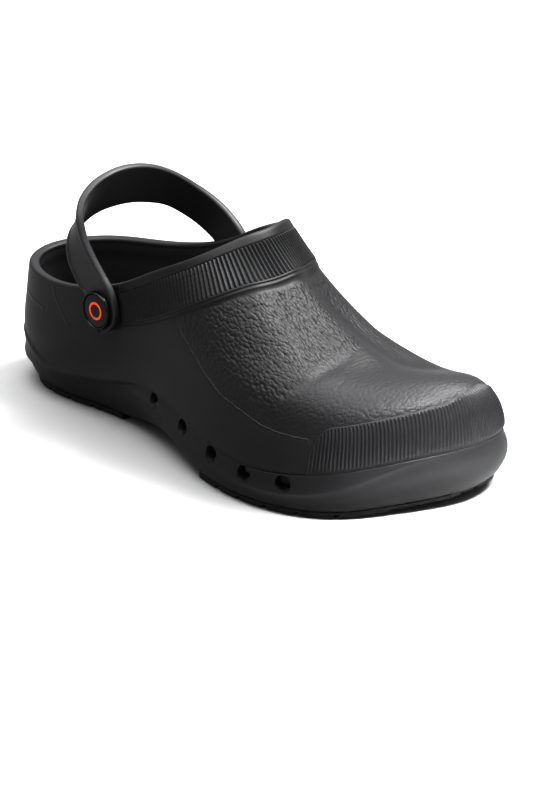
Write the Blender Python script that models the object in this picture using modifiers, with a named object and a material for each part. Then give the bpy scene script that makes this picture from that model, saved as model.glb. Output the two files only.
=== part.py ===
"""Hospital clog for the right foot: moulded upper, sole unit, two tread pads, insole, swing strap and rivets.

+X runs from heel to toe, +Y to the big-toe side and +Z up from the floor, in metres.
"""
import bmesh
import bpy
import numpy as np
from mathutils import Matrix

for leftover in list(bpy.data.objects):
    bpy.data.objects.remove(leftover, do_unlink=True)

MILLIMETRE = 0.001

# Driving sizes of the last
LENGTH = 0.270        # heel back to toe tip along the joint line of upper and sole
BALL_WIDTH = 0.109    # joint line across the ball of the foot
INSTEP = 0.102        # throat of the collar above the floor
ORIGIN_X = 0.13594    # the frame's origin, from the heel back
ORIGIN_Y = -0.00075   # and from the middle of the heel

# Moulding
WALL = 0.0042         # wall of the upper
RIM_WALL = 0.0052     # thickened edge of the collar
GAP = 0.0003          # clearance between pieces that touch
CAP_STEP = 0.0011     # the toe cap stands this far out of the wall
BAND_STEP = 0.0010    # and the ribbed collar band this far
STEP_RUN = 0.04       # share of a wall panel that a step takes to rise
RIM_FROM = 2.5        # the wall thickens to the collar's edge from half way up the band
CAP_OUTER = 0.2265    # back end of the toe cap on the little-toe side, from the heel back
CAP_INNER = 0.234     # and on the big-toe side
BAND_FROM = 0.0985    # the collar band starts here on both sides, in front of the strap's lobes

# Sole
TREAD = 0.0033        # underside of the sole unit above the floor, where the tread pads fill it
ARCH_RISE = 0.0050    # lift of the waist above that
ARCH_FROM = 0.084     # the arch starts here, behind the waist
ARCH_TO = 0.170       # and ends here, at the ball
TOE_SPRING = 0.0050   # lift of the underside at the toe tip
SPRING_FROM = 0.224
HEEL_ROCKER = 0.0070  # lift of the underside at the heel back
ROCKER_TO = 0.026
CAVITY_EDGE = 0.0052  # inner wall of the sole unit, inside the joint line

# Footbed height along the foot: distance from the heel back, height of the floor under the insole
FOOTBED = (
    (0.000, 0.0190),
    (0.060, 0.0180),
    (0.125, 0.0120),
    (0.190, 0.0062),
    (0.235, 0.0078),
    (0.270, 0.0120),
)
INSOLE_THICK = 0.0040
INSOLE_GAP = 0.0005   # under the insole
INSOLE_EASE = 0.0010  # bevel round its top edge
INSOLE_EDGE = 0.0066  # insole edge inside the joint line

# Tread pads, cut into lugs
PAD_INSET = 0.0012    # pad edge inside the sole unit's base
HEEL_PAD = (0.0125, 0.088)   # from and to, from the heel back
FORE_PAD = (0.163, 0.2635)
HEEL_GROOVES = (0.022, 0.037, 0.052, 0.067)
FORE_GROOVES = (0.178, 0.193, 0.208, 0.223, 0.238, 0.252)
GROOVE_WIDTH = 0.0030
GROOVE_DEPTH = 0.0020
GROOVE_FLOOR = 0.76          # share of a groove's width that is flat floor
LONG_GROOVES = (0.34, 0.66)  # lengthwise grooves, as shares of the way across
LONG_GROOVE_SHARE = 0.05     # and their width
PAD_STATIONS = 7
PAD_LANES = 4

# Vent holes of the sole wall, by distance from the heel back along each side
VENT_AT = (0.1243, 0.1506, 0.1744, 0.1961, 0.2167)
VENT_RADII = (0.0036, 0.0036, 0.0037, 0.0038, 0.0039)
VENT_DOWN = 0.5       # half way down the channel
VENT_BORE = 0.020

# Strap and rivets
OUTER_PIVOT_X = 0.0842
INNER_PIVOT_X = 0.0892
PIVOT_Z = 0.0565
LOBE_RADIUS = 0.0110
LOBE_FACE = 0.0385    # inner face of each lobe, from the middle of the heel
STRAP_THICK = 0.0037
STRAP_EASE = 0.0011   # its long edges are eased by this much
HOLE_RADIUS = 0.0040
HEAD_RADIUS = 0.0092
HEAD_RISE = 0.0022
RIVET_GRIP = 0.0088   # boss in the wall that a rivet goes through
RIVET_BORE = 0.030
FLANGE_RADIUS = 0.0070
FLANGE_THICK = 0.0012
BOSS_RADIUS = 0.0085

# Sections of the strap's hoop from the outer lobe over the crown to the inner lobe: its front edge and its
# back edge, along from the heel back, across from the middle of the heel and up, in millimetres.
# The hoop leans back and hangs over to the little-toe side.
HOOP = (
    ("outer lobe top",     94.6, -40.35,  61.5,  73.6, -40.35, 61.2),
    ("outer neck",         91.4, -40.35,  67.8,  69.4, -40.35, 64.6),
    ("outer leg",          86.6, -40.9,   73.8,  65.8, -40.6,  69.4),
    ("outer mid leg",      81.0, -41.8,   81.4,  62.9, -41.0,  75.5),
    ("outer top leg",      76.0, -42.4,   89.4,  61.0, -39.8,  81.6),
    ("outer shoulder",     71.8, -41.4,   97.6,  59.6, -36.0,  86.6),
    ("outer turn",         68.0, -37.2,  103.8,  58.9, -29.2,  90.6),
    ("outer upper turn",   65.4, -29.0,  109.2,  58.4, -20.2,  93.0),
    ("outer crown side",   64.5, -16.0,  113.0,  58.3, -10.2,  93.6),
    ("crown",              64.5,  -3.0,  113.2,  58.3,   0.6,  92.8),
    ("inner crown side",   65.5,  10.2,  110.2,  58.4,  10.8,  90.6),
    ("inner upper turn",   67.4,  22.2,  104.2,  59.2,  20.8,  87.4),
    ("inner turn",         71.0,  31.2,   97.2,  61.0,  29.8,  82.0),
    ("inner shoulder",     76.4,  36.9,   91.2,  65.4,  36.8,  75.8),
    ("inner top leg",      83.9,  39.9,   84.9,  69.8,  39.6,  71.6),
    ("inner leg",          92.8,  40.35,  77.6,  74.4,  40.35, 68.2),
    ("inner lobe top",     99.0,  40.35,  67.0,  77.8,  40.35, 62.4),
)

# Domed head of a rivet: share of its radius, share of its rise
HEAD_PROFILE = ((0.0, 1.0), (0.6, 0.92), (0.9, 0.6), (1.0, 0.2), (1.0, 0.0))

# Places round the joint line, from the toe tip along the little-toe side to the heel and back.
# Lengthwise columns are in hundredths of LENGTH, crosswise ones of BALL_WIDTH, heights of INSTEP.
# The shoulder is where the side wall turns over; mid is a share of the way from it to the rim.
PLACE_COLUMNS = ("along", "across", "joint", "shoulder_in", "shoulder", "mid_part", "mid",
                 "rim_along", "rim_across", "rim", "band")
PLACES = (
    ("toe tip",          100.0,  12.8, 29.3,  4.9, 49.6, 42, 54.6, 56.5,   1.5, 99.0, 23.0),
    ("little-toe corner", 95.9, -12.8, 26.7,  4.7, 47.4, 42, 56.8, 56.3,  -7.0, 98.4, 23.5),
    ("little toe",        87.8, -37.6, 21.3,  5.4, 41.8, 42, 61.0, 54.8, -16.0, 95.8, 23.5),
    ("outer ball",        72.6, -51.4, 17.4,  6.0, 41.0, 45, 62.5, 51.0, -26.6, 89.2, 22.0),
    ("outer waist",       47.0, -41.3, 27.3,  3.7, 43.1, 50, 59.2, 41.5, -33.0, 76.0, 19.5),
    ("outer pivot",       30.4, -34.5, 21.6,  0.0, 35.3, 50, 49.2, 31.1, -33.3, 63.3, 17.0),
    ("outer heel",        14.8, -33.9, 15.2, -0.9, 29.4, 50, 43.0, 15.6, -31.9, 54.5, 15.0),
    ("outer heel corner",  4.1, -22.9, 15.2, -1.1, 29.4, 50, 43.0,  4.4, -21.8, 54.5, 15.0),
    ("heel back",          0.0,   0.0, 16.2, -0.9, 30.4, 50, 44.0,  0.5,   0.0, 55.5, 15.0),
    ("inner heel corner",  4.1,  22.0, 15.2, -0.9, 29.4, 50, 44.0,  5.2,  20.8, 56.8, 15.0),
    ("inner heel",        14.8,  32.1, 15.2, -0.7, 29.4, 50, 45.4, 15.9,  29.8, 59.3, 15.0),
    ("inner pivot",       31.9,  33.5, 21.6,  0.0, 35.3, 50, 51.4, 31.1,  32.3, 68.2, 17.0),
    ("inner waist",       48.9,  37.6, 26.9,  3.7, 43.1, 50, 60.2, 41.0,  31.2, 80.8, 19.5),
    ("inner ball",        74.8,  48.6, 17.0,  6.4, 37.6, 45, 57.0, 50.6,  25.5, 92.6, 22.0),
    ("big toe",           89.6,  45.9, 22.6,  7.0, 40.4, 42, 49.8, 54.0,  17.5, 97.4, 23.0),
    ("big-toe corner",    97.4,  34.9, 28.0,  5.9, 47.2, 42, 48.6, 55.7,   9.5, 98.8, 23.0),
)

# Side of the sole at the same places, from the toe tip to the heel back, alike on both sides, in millimetres.
# Out is measured from the joint line; the ridge is the lower lip of the vent channel.
SIDE_COLUMNS = ("channel_in", "ridge_out", "ridge_drop", "bulge_out", "bulge_share", "base_out")
SIDES = (
    ("toe tip",     0.0,  0.7,  1.2,  1.9, 0.42, -4.2),
    ("toe corner",  0.0,  0.9,  1.6,  2.5, 0.42, -3.2),
    ("fore toe",    0.2,  1.7,  7.6,  3.3, 0.50,  0.2),
    ("ball",        0.5,  1.2,  8.0,  2.2, 0.52,  0.4),
    ("waist",       0.4,  0.6,  7.6, -0.4, 0.45, -4.0),
    ("pivot",       0.0,  0.2,  1.8, -1.2, 0.45, -5.6),
    ("heel side",   0.0,  0.2,  1.0, -0.8, 0.45, -3.4),
    ("heel corner", 0.0,  0.2,  1.0, -1.0, 0.45, -5.0),
    ("heel back",   0.0,  0.2,  1.0, -1.6, 0.45, -8.0),
)
SPINE_SHARE = 0.75    # flat faces are closed along a middle line this share of their length

# Fineness of the curves and meshes
SAMPLES = 400
SLOPE_STEP = 1e-4
FACING_STEP = 0.004   # the upper's normals are taken this far to each side
CURVE_STEPS = 25      # along a wall between two rows of its tables
FOOTBED_STEPS = 271
FOOTBED_EASE = 30     # steps over which the footbed's corners are eased, each way
SHARP_ANGLE = 0.7
UPPER_COLUMNS = 72
STEP_HALF = 0.0006    # half the run of a step's end, as a share of the joint line
UPPER_ROWS = (0, 0.12, 0.4, 0.7, 0.96, 1.0, 1.25, 1.5, 1.75, 2.0, 2.04, 2.5, 2.9, 3.0)
INNER_ROWS = (0, 0.4, 0.7, 1.0, 1.25, 1.5, 1.75, 2.0, 2.5, 3.0)
SOLE_COLUMNS = 72
LIP_SHARE = 0.2       # the channel's wall turns out to its lip this share of its height above it
SIDE_ROWS = (0, 0.2, 0.45, 0.7, 0.9)
HOOP_STEPS = 2        # mesh sections for each section of the table
RIVET_SIDES = 20
BORE_SIDES = 24
VENT_SIDES = 16


def closed_spline(knots, values, at):
    """Closed cubic curve of period one through the values, with matching slope and bend at the knots."""
    count = len(knots)
    step = np.diff(np.append(knots, knots[0] + 1.0))
    system = np.zeros((count, count))
    change = np.zeros(count)
    for i in range(count):
        before, after = i - 1, (i + 1) % count
        system[i, before] += step[before]
        system[i, i] += 2 * (step[before] + step[i])
        system[i, after] += step[i]
        rise = (values[after] - values[i]) / step[i]
        change[i] = 6 * (rise - (values[i] - values[before]) / step[before])
    bend = np.linalg.solve(system, change)
    at = np.mod(at, 1.0)
    i = np.clip(np.searchsorted(knots, at, side="right") - 1, 0, count - 1)
    after = (i + 1) % count
    b = (at - knots[i]) / step[i]
    a = 1 - b
    sag = ((a**3 - a) * bend[i] + (b**3 - b) * bend[after]) * step[i] ** 2 / 6
    return a * values[i] + b * values[after] + sag


def scaled_places():
    """The table's columns as lengths in metres, and the places' shares of the way round the joint line."""
    numbers = np.array([row[1:] for row in PLACES]) / 100
    column = dict(zip(PLACE_COLUMNS, numbers.T))
    for name in ("along", "rim_along"):
        column[name] = column[name] * LENGTH
    for name in ("across", "shoulder_in", "rim_across"):
        column[name] = column[name] * BALL_WIDTH
    for name in ("joint", "shoulder", "mid", "rim", "band"):
        column[name] = column[name] * INSTEP
    ring = np.stack([column["along"], column["across"]], 1)
    walk = np.cumsum(np.linalg.norm(np.roll(ring, -1, 0) - ring, axis=1))
    side = np.array([row[1:] for row in SIDES + SIDES[-2:0:-1]])
    for name, values in zip(SIDE_COLUMNS, side.T):
        column[name] = values if name == "bulge_share" else values * MILLIMETRE
    return column, np.concatenate([[0], walk[:-1]]) / walk[-1]


PLACE, KNOTS = scaled_places()


def place(name, t):
    """One column of the tables, carried smoothly round the joint line to the shares t."""
    return closed_spline(KNOTS, PLACE[name], t)


def joint_line(t):
    """Plan of the joint line, and the level direction out of the shoe across it."""
    point = np.stack([place("along", t), place("across", t)], -1)
    ahead, behind = t + SLOPE_STEP, t - SLOPE_STEP
    run = np.stack([place(name, ahead) - place(name, behind) for name in ("along", "across")], -1)
    out = np.stack([-run[..., 1], run[..., 0]], -1)
    return point, out / np.linalg.norm(out, axis=-1, keepdims=True)


def through(points, share, upright=False):
    """Smooth curve through rows of points: parabola slopes at the inner rows, the first upright if asked."""
    last = len(points) - 1
    span = [np.linalg.norm(points[i + 1] - points[i], axis=-1, keepdims=True) for i in range(last)]
    chord = [(points[i + 1] - points[i]) / span[i] for i in range(last)]
    slope = []
    for i in range(1, last):
        slope.append((chord[i - 1] * span[i] + chord[i] * span[i - 1]) / (span[i - 1] + span[i]))
    first = 2 * chord[0] - slope[0]
    if upright:
        first = np.broadcast_to(np.array([0.0, 0.0, 1.0]), points[0].shape)
    slope = [first] + slope + [2 * chord[-1] - slope[-1]]
    rows = []
    w = share[:, None, None]
    ease = w * w * (3 - 2 * w)
    for i in range(last):
        lead = w * (1 - w) ** 2 * span[i]
        trail = w * w * (w - 1) * span[i]
        piece = points[i] + ease * (points[i + 1] - points[i]) + lead * slope[i] + trail * slope[i + 1]
        rows.append(piece if i == last - 1 else piece[:-1])
    return np.concatenate(rows)


def upper_skin(t, v):
    """Outer face of the upper without its raised panels.

    v runs 0 to 1 up the side wall to the shoulder, 1 to 2 on to the collar band, 2 to 3 up the band to
    the rim, each by length along the wall.
    """
    plan, out = joint_line(t)
    joint = np.column_stack([plan, place("joint", t)])
    shoulder = np.column_stack([plan - out * place("shoulder_in", t)[:, None], place("shoulder", t)])
    rim = np.column_stack([place("rim_along", t), place("rim_across", t), place("rim", t)])
    mid = shoulder + (rim - shoulder) * place("mid_part", t)[:, None]
    mid[:, 2] = place("mid", t)
    line = through([joint, shoulder, mid, rim], np.linspace(0, 1, CURVE_STEPS), upright=True)
    pieces = np.linalg.norm(np.diff(line, axis=0), axis=2)
    length = np.concatenate([np.zeros((1, len(t))), np.cumsum(pieces, 0)])
    marks = np.stack([length[0], length[CURVE_STEPS - 1], length[-1] - place("band", t), length[-1]])
    skin = np.empty((len(v), len(t), 3))
    for j in range(len(t)):
        want = np.interp(v, (0, 1, 2, 3), marks[:, j])
        for axis in range(3):
            skin[:, j, axis] = np.interp(want, length[:, j], line[:, j, axis])
    return skin


def facing(t, v):
    """Unit normals of the upper's outer face at shares t and rows v, pointing out of the shoe."""
    along = upper_skin(t + FACING_STEP, v) - upper_skin(t - FACING_STEP, v)
    up = np.gradient(upper_skin(t, v), axis=0)
    normal = np.cross(up, along)
    return normal / np.linalg.norm(normal, axis=2, keepdims=True)


def ring_mesh(name, rows, finish, wrap=False):
    """Closed skin from rows of points round the shoe.

    Rows join each to the next. With wrap the last row joins the first; otherwise the first and last row are
    folded shut along the middle line, where each point meets its partner from the other side.
    """
    count = rows.shape[1]
    levels = len(rows)
    number = np.arange(levels * count).reshape(levels, count)
    if not wrap:
        for row in (0, levels - 1):
            for i in range(count // 2 + 1, count):
                number[row, i] = number[row, count - i]
    faces = []
    for r in range(levels if wrap else levels - 1):
        lower, upper = number[r], number[(r + 1) % levels]
        for i in range(count):
            k = (i + 1) % count
            face = []
            for corner in (lower[i], lower[k], upper[k], upper[i]):
                if corner not in face:
                    face.append(int(corner))
            if len(face) > 2:
                faces.append(face)
    return mesh_object(name, rows.reshape(-1, 3), faces, finish)


def mesh_object(name, points, faces, finish):
    """Object from points and faces, with unused points dropped and every face pointing outwards."""
    mesh = bpy.data.meshes.new(name)
    shifted = np.asarray(points) - np.array([ORIGIN_X, ORIGIN_Y, 0.0])
    mesh.from_pydata([tuple(p) for p in shifted.tolist()], [], faces)
    work = bmesh.new()
    work.from_mesh(mesh)
    loose = [vert for vert in work.verts if not vert.link_faces]
    bmesh.ops.delete(work, geom=loose, context="VERTS")
    bmesh.ops.recalc_face_normals(work, faces=work.faces)
    if work.calc_volume(signed=True) < 0:
        bmesh.ops.reverse_faces(work, faces=work.faces)
    work.to_mesh(mesh)
    work.free()
    mesh.shade_smooth()
    mesh.set_sharp_from_angle(angle=SHARP_ANGLE)
    mesh.materials.append(finish)
    item = bpy.data.objects.new(name, mesh)
    clog.objects.link(item)
    return item


def material(name, colour, roughness):
    """Plain moulded finish."""
    finish = bpy.data.materials.new(name)
    finish.use_nodes = True
    shader = finish.node_tree.nodes["Principled BSDF"]
    shader.inputs["Base Color"].default_value = (*colour, 1.0)
    shader.inputs["Roughness"].default_value = roughness
    shader.inputs["Metallic"].default_value = 0.0
    return finish


def cutter(name, item):
    """Move an object to the cutters' collection, out of sight."""
    item.name = name
    for home in list(item.users_collection):
        home.objects.unlink(item)
    cutters.objects.link(item)
    item.hide_render = True
    item.display_type = "WIRE"
    return item


def combine(item, tool, operation):
    """Boolean of one object with another, kept as a modifier."""
    step = item.modifiers.new(tool.name, "BOOLEAN")
    step.object = tool
    step.operation = operation
    step.solver = "EXACT"


def cylinder(name, centre, direction, radius, length, sides=BORE_SIDES):
    """Cutter: a round bar about a centre, along a direction."""
    mesh = bpy.data.meshes.new(name)
    work = bmesh.new()
    bmesh.ops.create_cone(work, cap_ends=True, segments=sides, radius1=radius, radius2=radius, depth=length)
    work.to_mesh(mesh)
    work.free()
    item = bpy.data.objects.new(name, mesh)
    centre = np.asarray(centre) - np.array([ORIGIN_X, ORIGIN_Y, 0.0])
    x, y = direction[0], direction[1]
    turn = Matrix(((-y, 0, x), (x, 0, y), (0, 1, 0)))
    item.matrix_world = Matrix.Translation(centre.tolist()) @ turn.to_4x4()
    return cutter(name, item)


clog = bpy.data.collections.new("hospital_clog")
cutters = bpy.data.collections.new("cutters")
bpy.context.scene.collection.children.link(clog)
bpy.context.scene.collection.children.link(cutters)
FOAM = material("charcoal_foam", (0.030, 0.030, 0.034), 0.45)
SOLE_FOAM = material("sole_foam", (0.028, 0.028, 0.031), 0.45)
RUBBER = material("tread_rubber", (0.020, 0.020, 0.021), 0.6)
FOOTBED_FOAM = material("footbed_foam", (0.045, 0.045, 0.048), 0.7)
GLOSS = material("rivet_plastic", (0.008, 0.008, 0.009), 0.2)


def share_at(distance, side):
    """Share of the joint line at a distance from the heel back: side -1 little-toe, 1 big-toe."""
    first, last = KNOTS[1], KNOTS[len(SIDES) - 2]
    if side > 0:
        first, last = KNOTS[-1], KNOTS[len(SIDES)]
    t = np.linspace(first, last, SAMPLES)
    return float(np.interp(-distance, -place("along", t), t))


def under(x):
    """Underside of the sole unit: flat on the pads, lifted over the arch."""
    span = np.clip((x - ARCH_FROM) / (ARCH_TO - ARCH_FROM), 0, 1)
    return TREAD + ARCH_RISE * np.sin(np.pi * span) ** 2 + tread_face(x)


def tread_face(x):
    """Face that the tread pads walk on: flat between the heel rocker and the toe spring."""
    spring = np.clip((x - SPRING_FROM) / (LENGTH - SPRING_FROM), 0, None)
    rocker = np.clip((ROCKER_TO - x) / ROCKER_TO, 0, None)
    return TOE_SPRING * spring**2 + HEEL_ROCKER * rocker**2


def footbed(x):
    """Height of the floor under the insole, eased between the rows of its table."""
    along, height = np.array(FOOTBED).T
    fine = np.linspace(along[0], along[-1], FOOTBED_STEPS)
    level = np.interp(fine, along, height)
    blur = np.hanning(2 * FOOTBED_EASE + 1)
    level = np.convolve(np.pad(level, FOOTBED_EASE, "edge"), blur / blur.sum(), "valid")
    return np.interp(x, fine, level)


def offset_ring(t, out_by, height):
    """Row of points standing out from the joint line by a distance, at a height that may follow their x."""
    plan, out = joint_line(t)
    point = plan + out * np.reshape(out_by, (-1, 1))
    level = height(point[:, 0]) if callable(height) else height
    return np.column_stack([point, np.broadcast_to(level, len(t))])


def folded(ring, share, height):
    """The ring drawn in towards a middle line, by a share of the way, on a surface of given height."""
    plan = ring[:, :2]
    partner = plan[-np.arange(len(plan))]
    middle = (plan + partner) / 2
    centre = (middle.min(0) + middle.max(0)) / 2
    spine = centre + SPINE_SHARE * (middle - centre)
    point = plan + (spine - plan) * share
    return np.column_stack([point, height(point[:, 0])])


def make_upper():
    """Upper: one moulded wall, open at the collar and underneath, with toe cap and collar band as steps."""
    cap = [share_at(CAP_OUTER, -1), share_at(CAP_INNER, 1)]
    band = [share_at(BAND_FROM, -1), share_at(BAND_FROM, 1)]
    t = np.linspace(0, 1, UPPER_COLUMNS, endpoint=False)
    for edge in cap + band:
        t = t[np.abs(t - edge) > STEP_HALF * 2]
        t = np.append(t, [edge - STEP_HALF, edge + STEP_HALF])
    t = np.sort(t)
    in_cap = (t < cap[0]) | (t > cap[1])
    in_band = (t < band[0]) | (t > band[1])
    v = np.array(UPPER_ROWS)
    skin = upper_skin(t, v)
    normal = facing(t, v)
    raised = CAP_STEP * ((v <= 1 - STEP_RUN)[:, None] & in_cap)
    raised = raised + BAND_STEP * ((v >= 2 + STEP_RUN)[:, None] & in_band)
    outer = skin + normal * raised[:, :, None]
    outer[0, :, 2] = skin[0, :, 2]
    up = skin[-1] - skin[-2]
    up /= np.linalg.norm(up, axis=1, keepdims=True)
    edge = normal[-1]
    centre = outer[-1] - edge * RIM_WALL / 2
    turns = np.radians((45, 90, 135))
    rim = [centre + (edge * np.cos(a) + up * np.sin(a)) * RIM_WALL / 2 for a in turns]
    keep = [i for i, value in enumerate(v) if value in INNER_ROWS][::-1]
    at_rim = (v > RIM_FROM)[:, None, None]
    inner = np.where(at_rim, outer - normal * RIM_WALL, skin - normal * WALL)[keep]
    inner[-1, :, 2] = skin[0, :, 2]
    item = ring_mesh("upper", np.concatenate([outer, rim, inner]), FOAM, wrap=True)
    for side, label, pivot_x in ((-1, "outer", OUTER_PIVOT_X), (1, "inner", INNER_PIVOT_X)):
        boss = cylinder(label + "_boss", (pivot_x, side * (LOBE_FACE - GAP - RIVET_GRIP / 2), PIVOT_Z),
                        (0, 1), BOSS_RADIUS, RIVET_GRIP)
        combine(item, boss, "UNION")
        hole = cylinder(label + "_pivot_hole", (pivot_x, side * LOBE_FACE, PIVOT_Z),
                        (0, 1), HOLE_RADIUS, RIVET_BORE)
        combine(item, hole, "DIFFERENCE")
    return item


def make_midsole():
    """Sole unit: cup for the footbed, vent channel with its lower lip, bumper, arch and tucked heel."""
    t = np.linspace(0, 1, SOLE_COLUMNS, endpoint=False)
    joint = place("joint", t) - GAP
    ridge = place("joint", t) - place("ridge_drop", t)
    channel = -np.clip(place("channel_in", t), 0, None)
    floor = offset_ring(t, -CAVITY_EDGE, footbed)
    rows = [folded(floor, 1.0, footbed), folded(floor, 0.5, footbed), floor]
    rows.append(offset_ring(t, -CAVITY_EDGE, joint))
    rows.append(offset_ring(t, channel, joint))
    rows.append(offset_ring(t, channel, ridge + (joint - ridge) * LIP_SHARE))
    base = offset_ring(t, place("base_out", t), under)
    for s in SIDE_ROWS:
        rows.append(offset_ring(t, side_profile(t, s), ridge + (base[:, 2] - ridge) * s))
    rows += [base, folded(base, 0.5, under), folded(base, 1.0, under)]
    item = ring_mesh("midsole", np.array(rows), SOLE_FOAM)
    for side, label in ((-1, "outer"), (1, "inner")):
        for number, (distance, radius) in enumerate(zip(VENT_AT, VENT_RADII), 1):
            share = np.array([share_at(distance, side)])
            plan, out = joint_line(share)
            height = place("joint", share)[0] - place("ridge_drop", share)[0] * VENT_DOWN
            vent = cylinder(f"{label}_vent_{number}", (*plan[0], height), out[0],
                            radius, VENT_BORE, VENT_SIDES)
            combine(item, vent, "DIFFERENCE")
    return item


def side_profile(t, s):
    """Bow of the sole's side: a parabola from the ridge (s 0) through the bulge to the base (s 1)."""
    a, b, c = place("ridge_out", t), place("bulge_out", t), place("base_out", t)
    m = place("bulge_share", t)
    return a * (s - m) * (s - 1) / m + b * s * (s - 1) / (m * (m - 1)) + c * s * (s - m) / (1 - m)


def pad_edges(x):
    """Outer and inner edge of the tread across the shoe, at distances x from the heel back."""
    t = np.linspace(0, 1, SAMPLES, endpoint=False)
    ring = offset_ring(t, place("base_out", t) - PAD_INSET, 0.0)
    toe, heel = ring[:, 0].argmax(), ring[:, 0].argmin()
    ring = np.roll(ring, -toe, 0)
    heel = (heel - toe) % len(t)
    outer, inner = ring[:heel + 1], ring[heel:]
    return np.interp(-x, -outer[:, 0], outer[:, 1]), np.interp(x, inner[:, 0], inner[:, 1])


def around_grooves(first, last, grooves, width, fill):
    """Places from first to last: a pair on each side of every groove, and fill places spread between."""
    places = list(np.linspace(first, last, fill))
    for groove in grooves:
        places = [p for p in places if abs(p - groove) > width]
        for edge in (width / 2, width * GROOVE_FLOOR / 2):
            places += [groove - edge, groove + edge]
    return np.array(sorted(places))


def make_pad(name, start, stop, grooves):
    """Tread pad under the sole unit between two distances from the heel back, cut into lugs by grooves."""
    x = around_grooves(start, stop, grooves, GROOVE_WIDTH, PAD_STATIONS)
    share = around_grooves(0.0, 1.0, LONG_GROOVES, LONG_GROOVE_SHARE, PAD_LANES)
    outer, inner = pad_edges(x)
    y = outer[:, None] + (inner - outer)[:, None] * share
    across = np.repeat(x[:, None], len(share), 1)
    cut = np.zeros_like(across)
    within = (1 + GROOVE_FLOOR) / 4
    for groove in grooves:
        cut[np.abs(x - groove) < GROOVE_WIDTH * within] = GROOVE_DEPTH
    for groove in LONG_GROOVES:
        cut[:, np.abs(share - groove) < LONG_GROOVE_SHARE * within] = GROOVE_DEPTH
    top = np.stack([across, y, under(across) - GAP], 2)
    face = np.stack([across, y, tread_face(across) + cut], 2)
    return slab_mesh(name, top, face, RUBBER)


def slab_mesh(name, top, bottom, finish):
    """Closed slab between two grids of points of the same size."""
    rows, lanes = top.shape[:2]
    number = np.arange(2 * rows * lanes).reshape(2, rows, lanes)
    faces = []
    for layer in number:
        corners = (layer[:-1, :-1], layer[1:, :-1], layer[1:, 1:], layer[:-1, 1:])
        faces += np.stack(corners, -1).reshape(-1, 4).tolist()
    for upper, lower in ((number[0, 0], number[1, 0]), (number[0, -1], number[1, -1]),
                         (number[0, :, 0], number[1, :, 0]), (number[0, :, -1], number[1, :, -1])):
        faces += np.stack([upper[:-1], upper[1:], lower[1:], lower[:-1]], -1).tolist()
    return mesh_object(name, np.concatenate([top, bottom]).reshape(-1, 3), faces, finish)


def make_insole():
    """Insole: a foam sheet that lies in the cup of the sole unit, its top edge eased."""
    t = np.linspace(0, 1, SOLE_COLUMNS, endpoint=False)

    def level(rise):
        return lambda x: footbed(x) + INSOLE_GAP + rise

    low = offset_ring(t, -INSOLE_EDGE, level(0))
    side = offset_ring(t, -INSOLE_EDGE, level(INSOLE_THICK - INSOLE_EASE))
    top = offset_ring(t, -INSOLE_EDGE - INSOLE_EASE, level(INSOLE_THICK))
    rows = [folded(low, 1.0, level(0)), low, side, top, folded(top, 1.0, level(INSOLE_THICK))]
    return ring_mesh("insole", np.array(rows), FOOTBED_FOAM)


def strap_edges():
    """Front and back edge of the strap, from the end of the outer lobe over the crown to the inner lobe.

    Below the pivot the edges close round the lobe; above it they pass through the sections of the hoop.
    """
    lobe_y = LOBE_FACE + STRAP_THICK / 2
    turn = np.radians((84, 70, 50, 25, 0))
    reach = LOBE_RADIUS * np.cos(turn)
    level = PIVOT_Z - LOBE_RADIUS * np.sin(turn)
    lobes = []
    for side, pivot_x in ((-1, OUTER_PIVOT_X), (1, INNER_PIVOT_X)):
        across = np.full(len(turn), side * lobe_y)
        lobes.append(np.stack([np.stack([pivot_x + way * reach, across, level], 1) for way in (1, -1)], 1))
    hoop = np.array([row[1:] for row in HOOP]).reshape(-1, 2, 3) * MILLIMETRE
    hoop = through(hoop, np.linspace(0, 1, HOOP_STEPS + 1))
    edges = np.concatenate([lobes[0], hoop, lobes[1][::-1]])
    return edges[:, 0], edges[:, 1]


def make_strap():
    """Heel strap: one moulded band with round pierced lobes, standing up as a hoop over the collar."""
    front, back = strap_edges()
    middle = (front + back) / 2
    wide = front - back
    half_width = np.linalg.norm(wide, axis=1, keepdims=True) / 2
    wide /= 2 * half_width
    run = np.gradient(middle, axis=0)
    thick = np.cross(run, wide)
    thick /= np.linalg.norm(thick, axis=1, keepdims=True)
    thick *= STRAP_THICK / 2
    eased = 1 - 2 * STRAP_EASE / STRAP_THICK
    narrow = np.maximum(half_width - STRAP_EASE, half_width / 2)
    section = [(-half_width, eased), (-half_width, -eased), (-narrow, -1), (narrow, -1)]
    section += [(-reach, -depth) for reach, depth in section]
    rows = np.array([middle + wide * reach + thick * depth for reach, depth in section])
    sides, count = len(rows), len(middle)
    number = np.arange(sides * count).reshape(sides, count)
    faces = []
    for s in range(sides):
        for i in range(count - 1):
            k = (s + 1) % sides
            faces.append([int(n) for n in (number[s, i], number[s, i + 1], number[k, i + 1], number[k, i])])
    faces.append([int(n) for n in number[:, 0]])
    faces.append([int(n) for n in number[::-1, -1]])
    item = mesh_object("heel_strap", rows.reshape(-1, 3), faces, FOAM)
    for side, label, pivot_x in ((-1, "outer", OUTER_PIVOT_X), (1, "inner", INNER_PIVOT_X)):
        hole = cylinder(label + "_lobe_hole", (pivot_x, side * LOBE_FACE, PIVOT_Z),
                        (0, 1), HOLE_RADIUS, RIVET_BORE)
        combine(item, hole, "DIFFERENCE")
    return item


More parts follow.
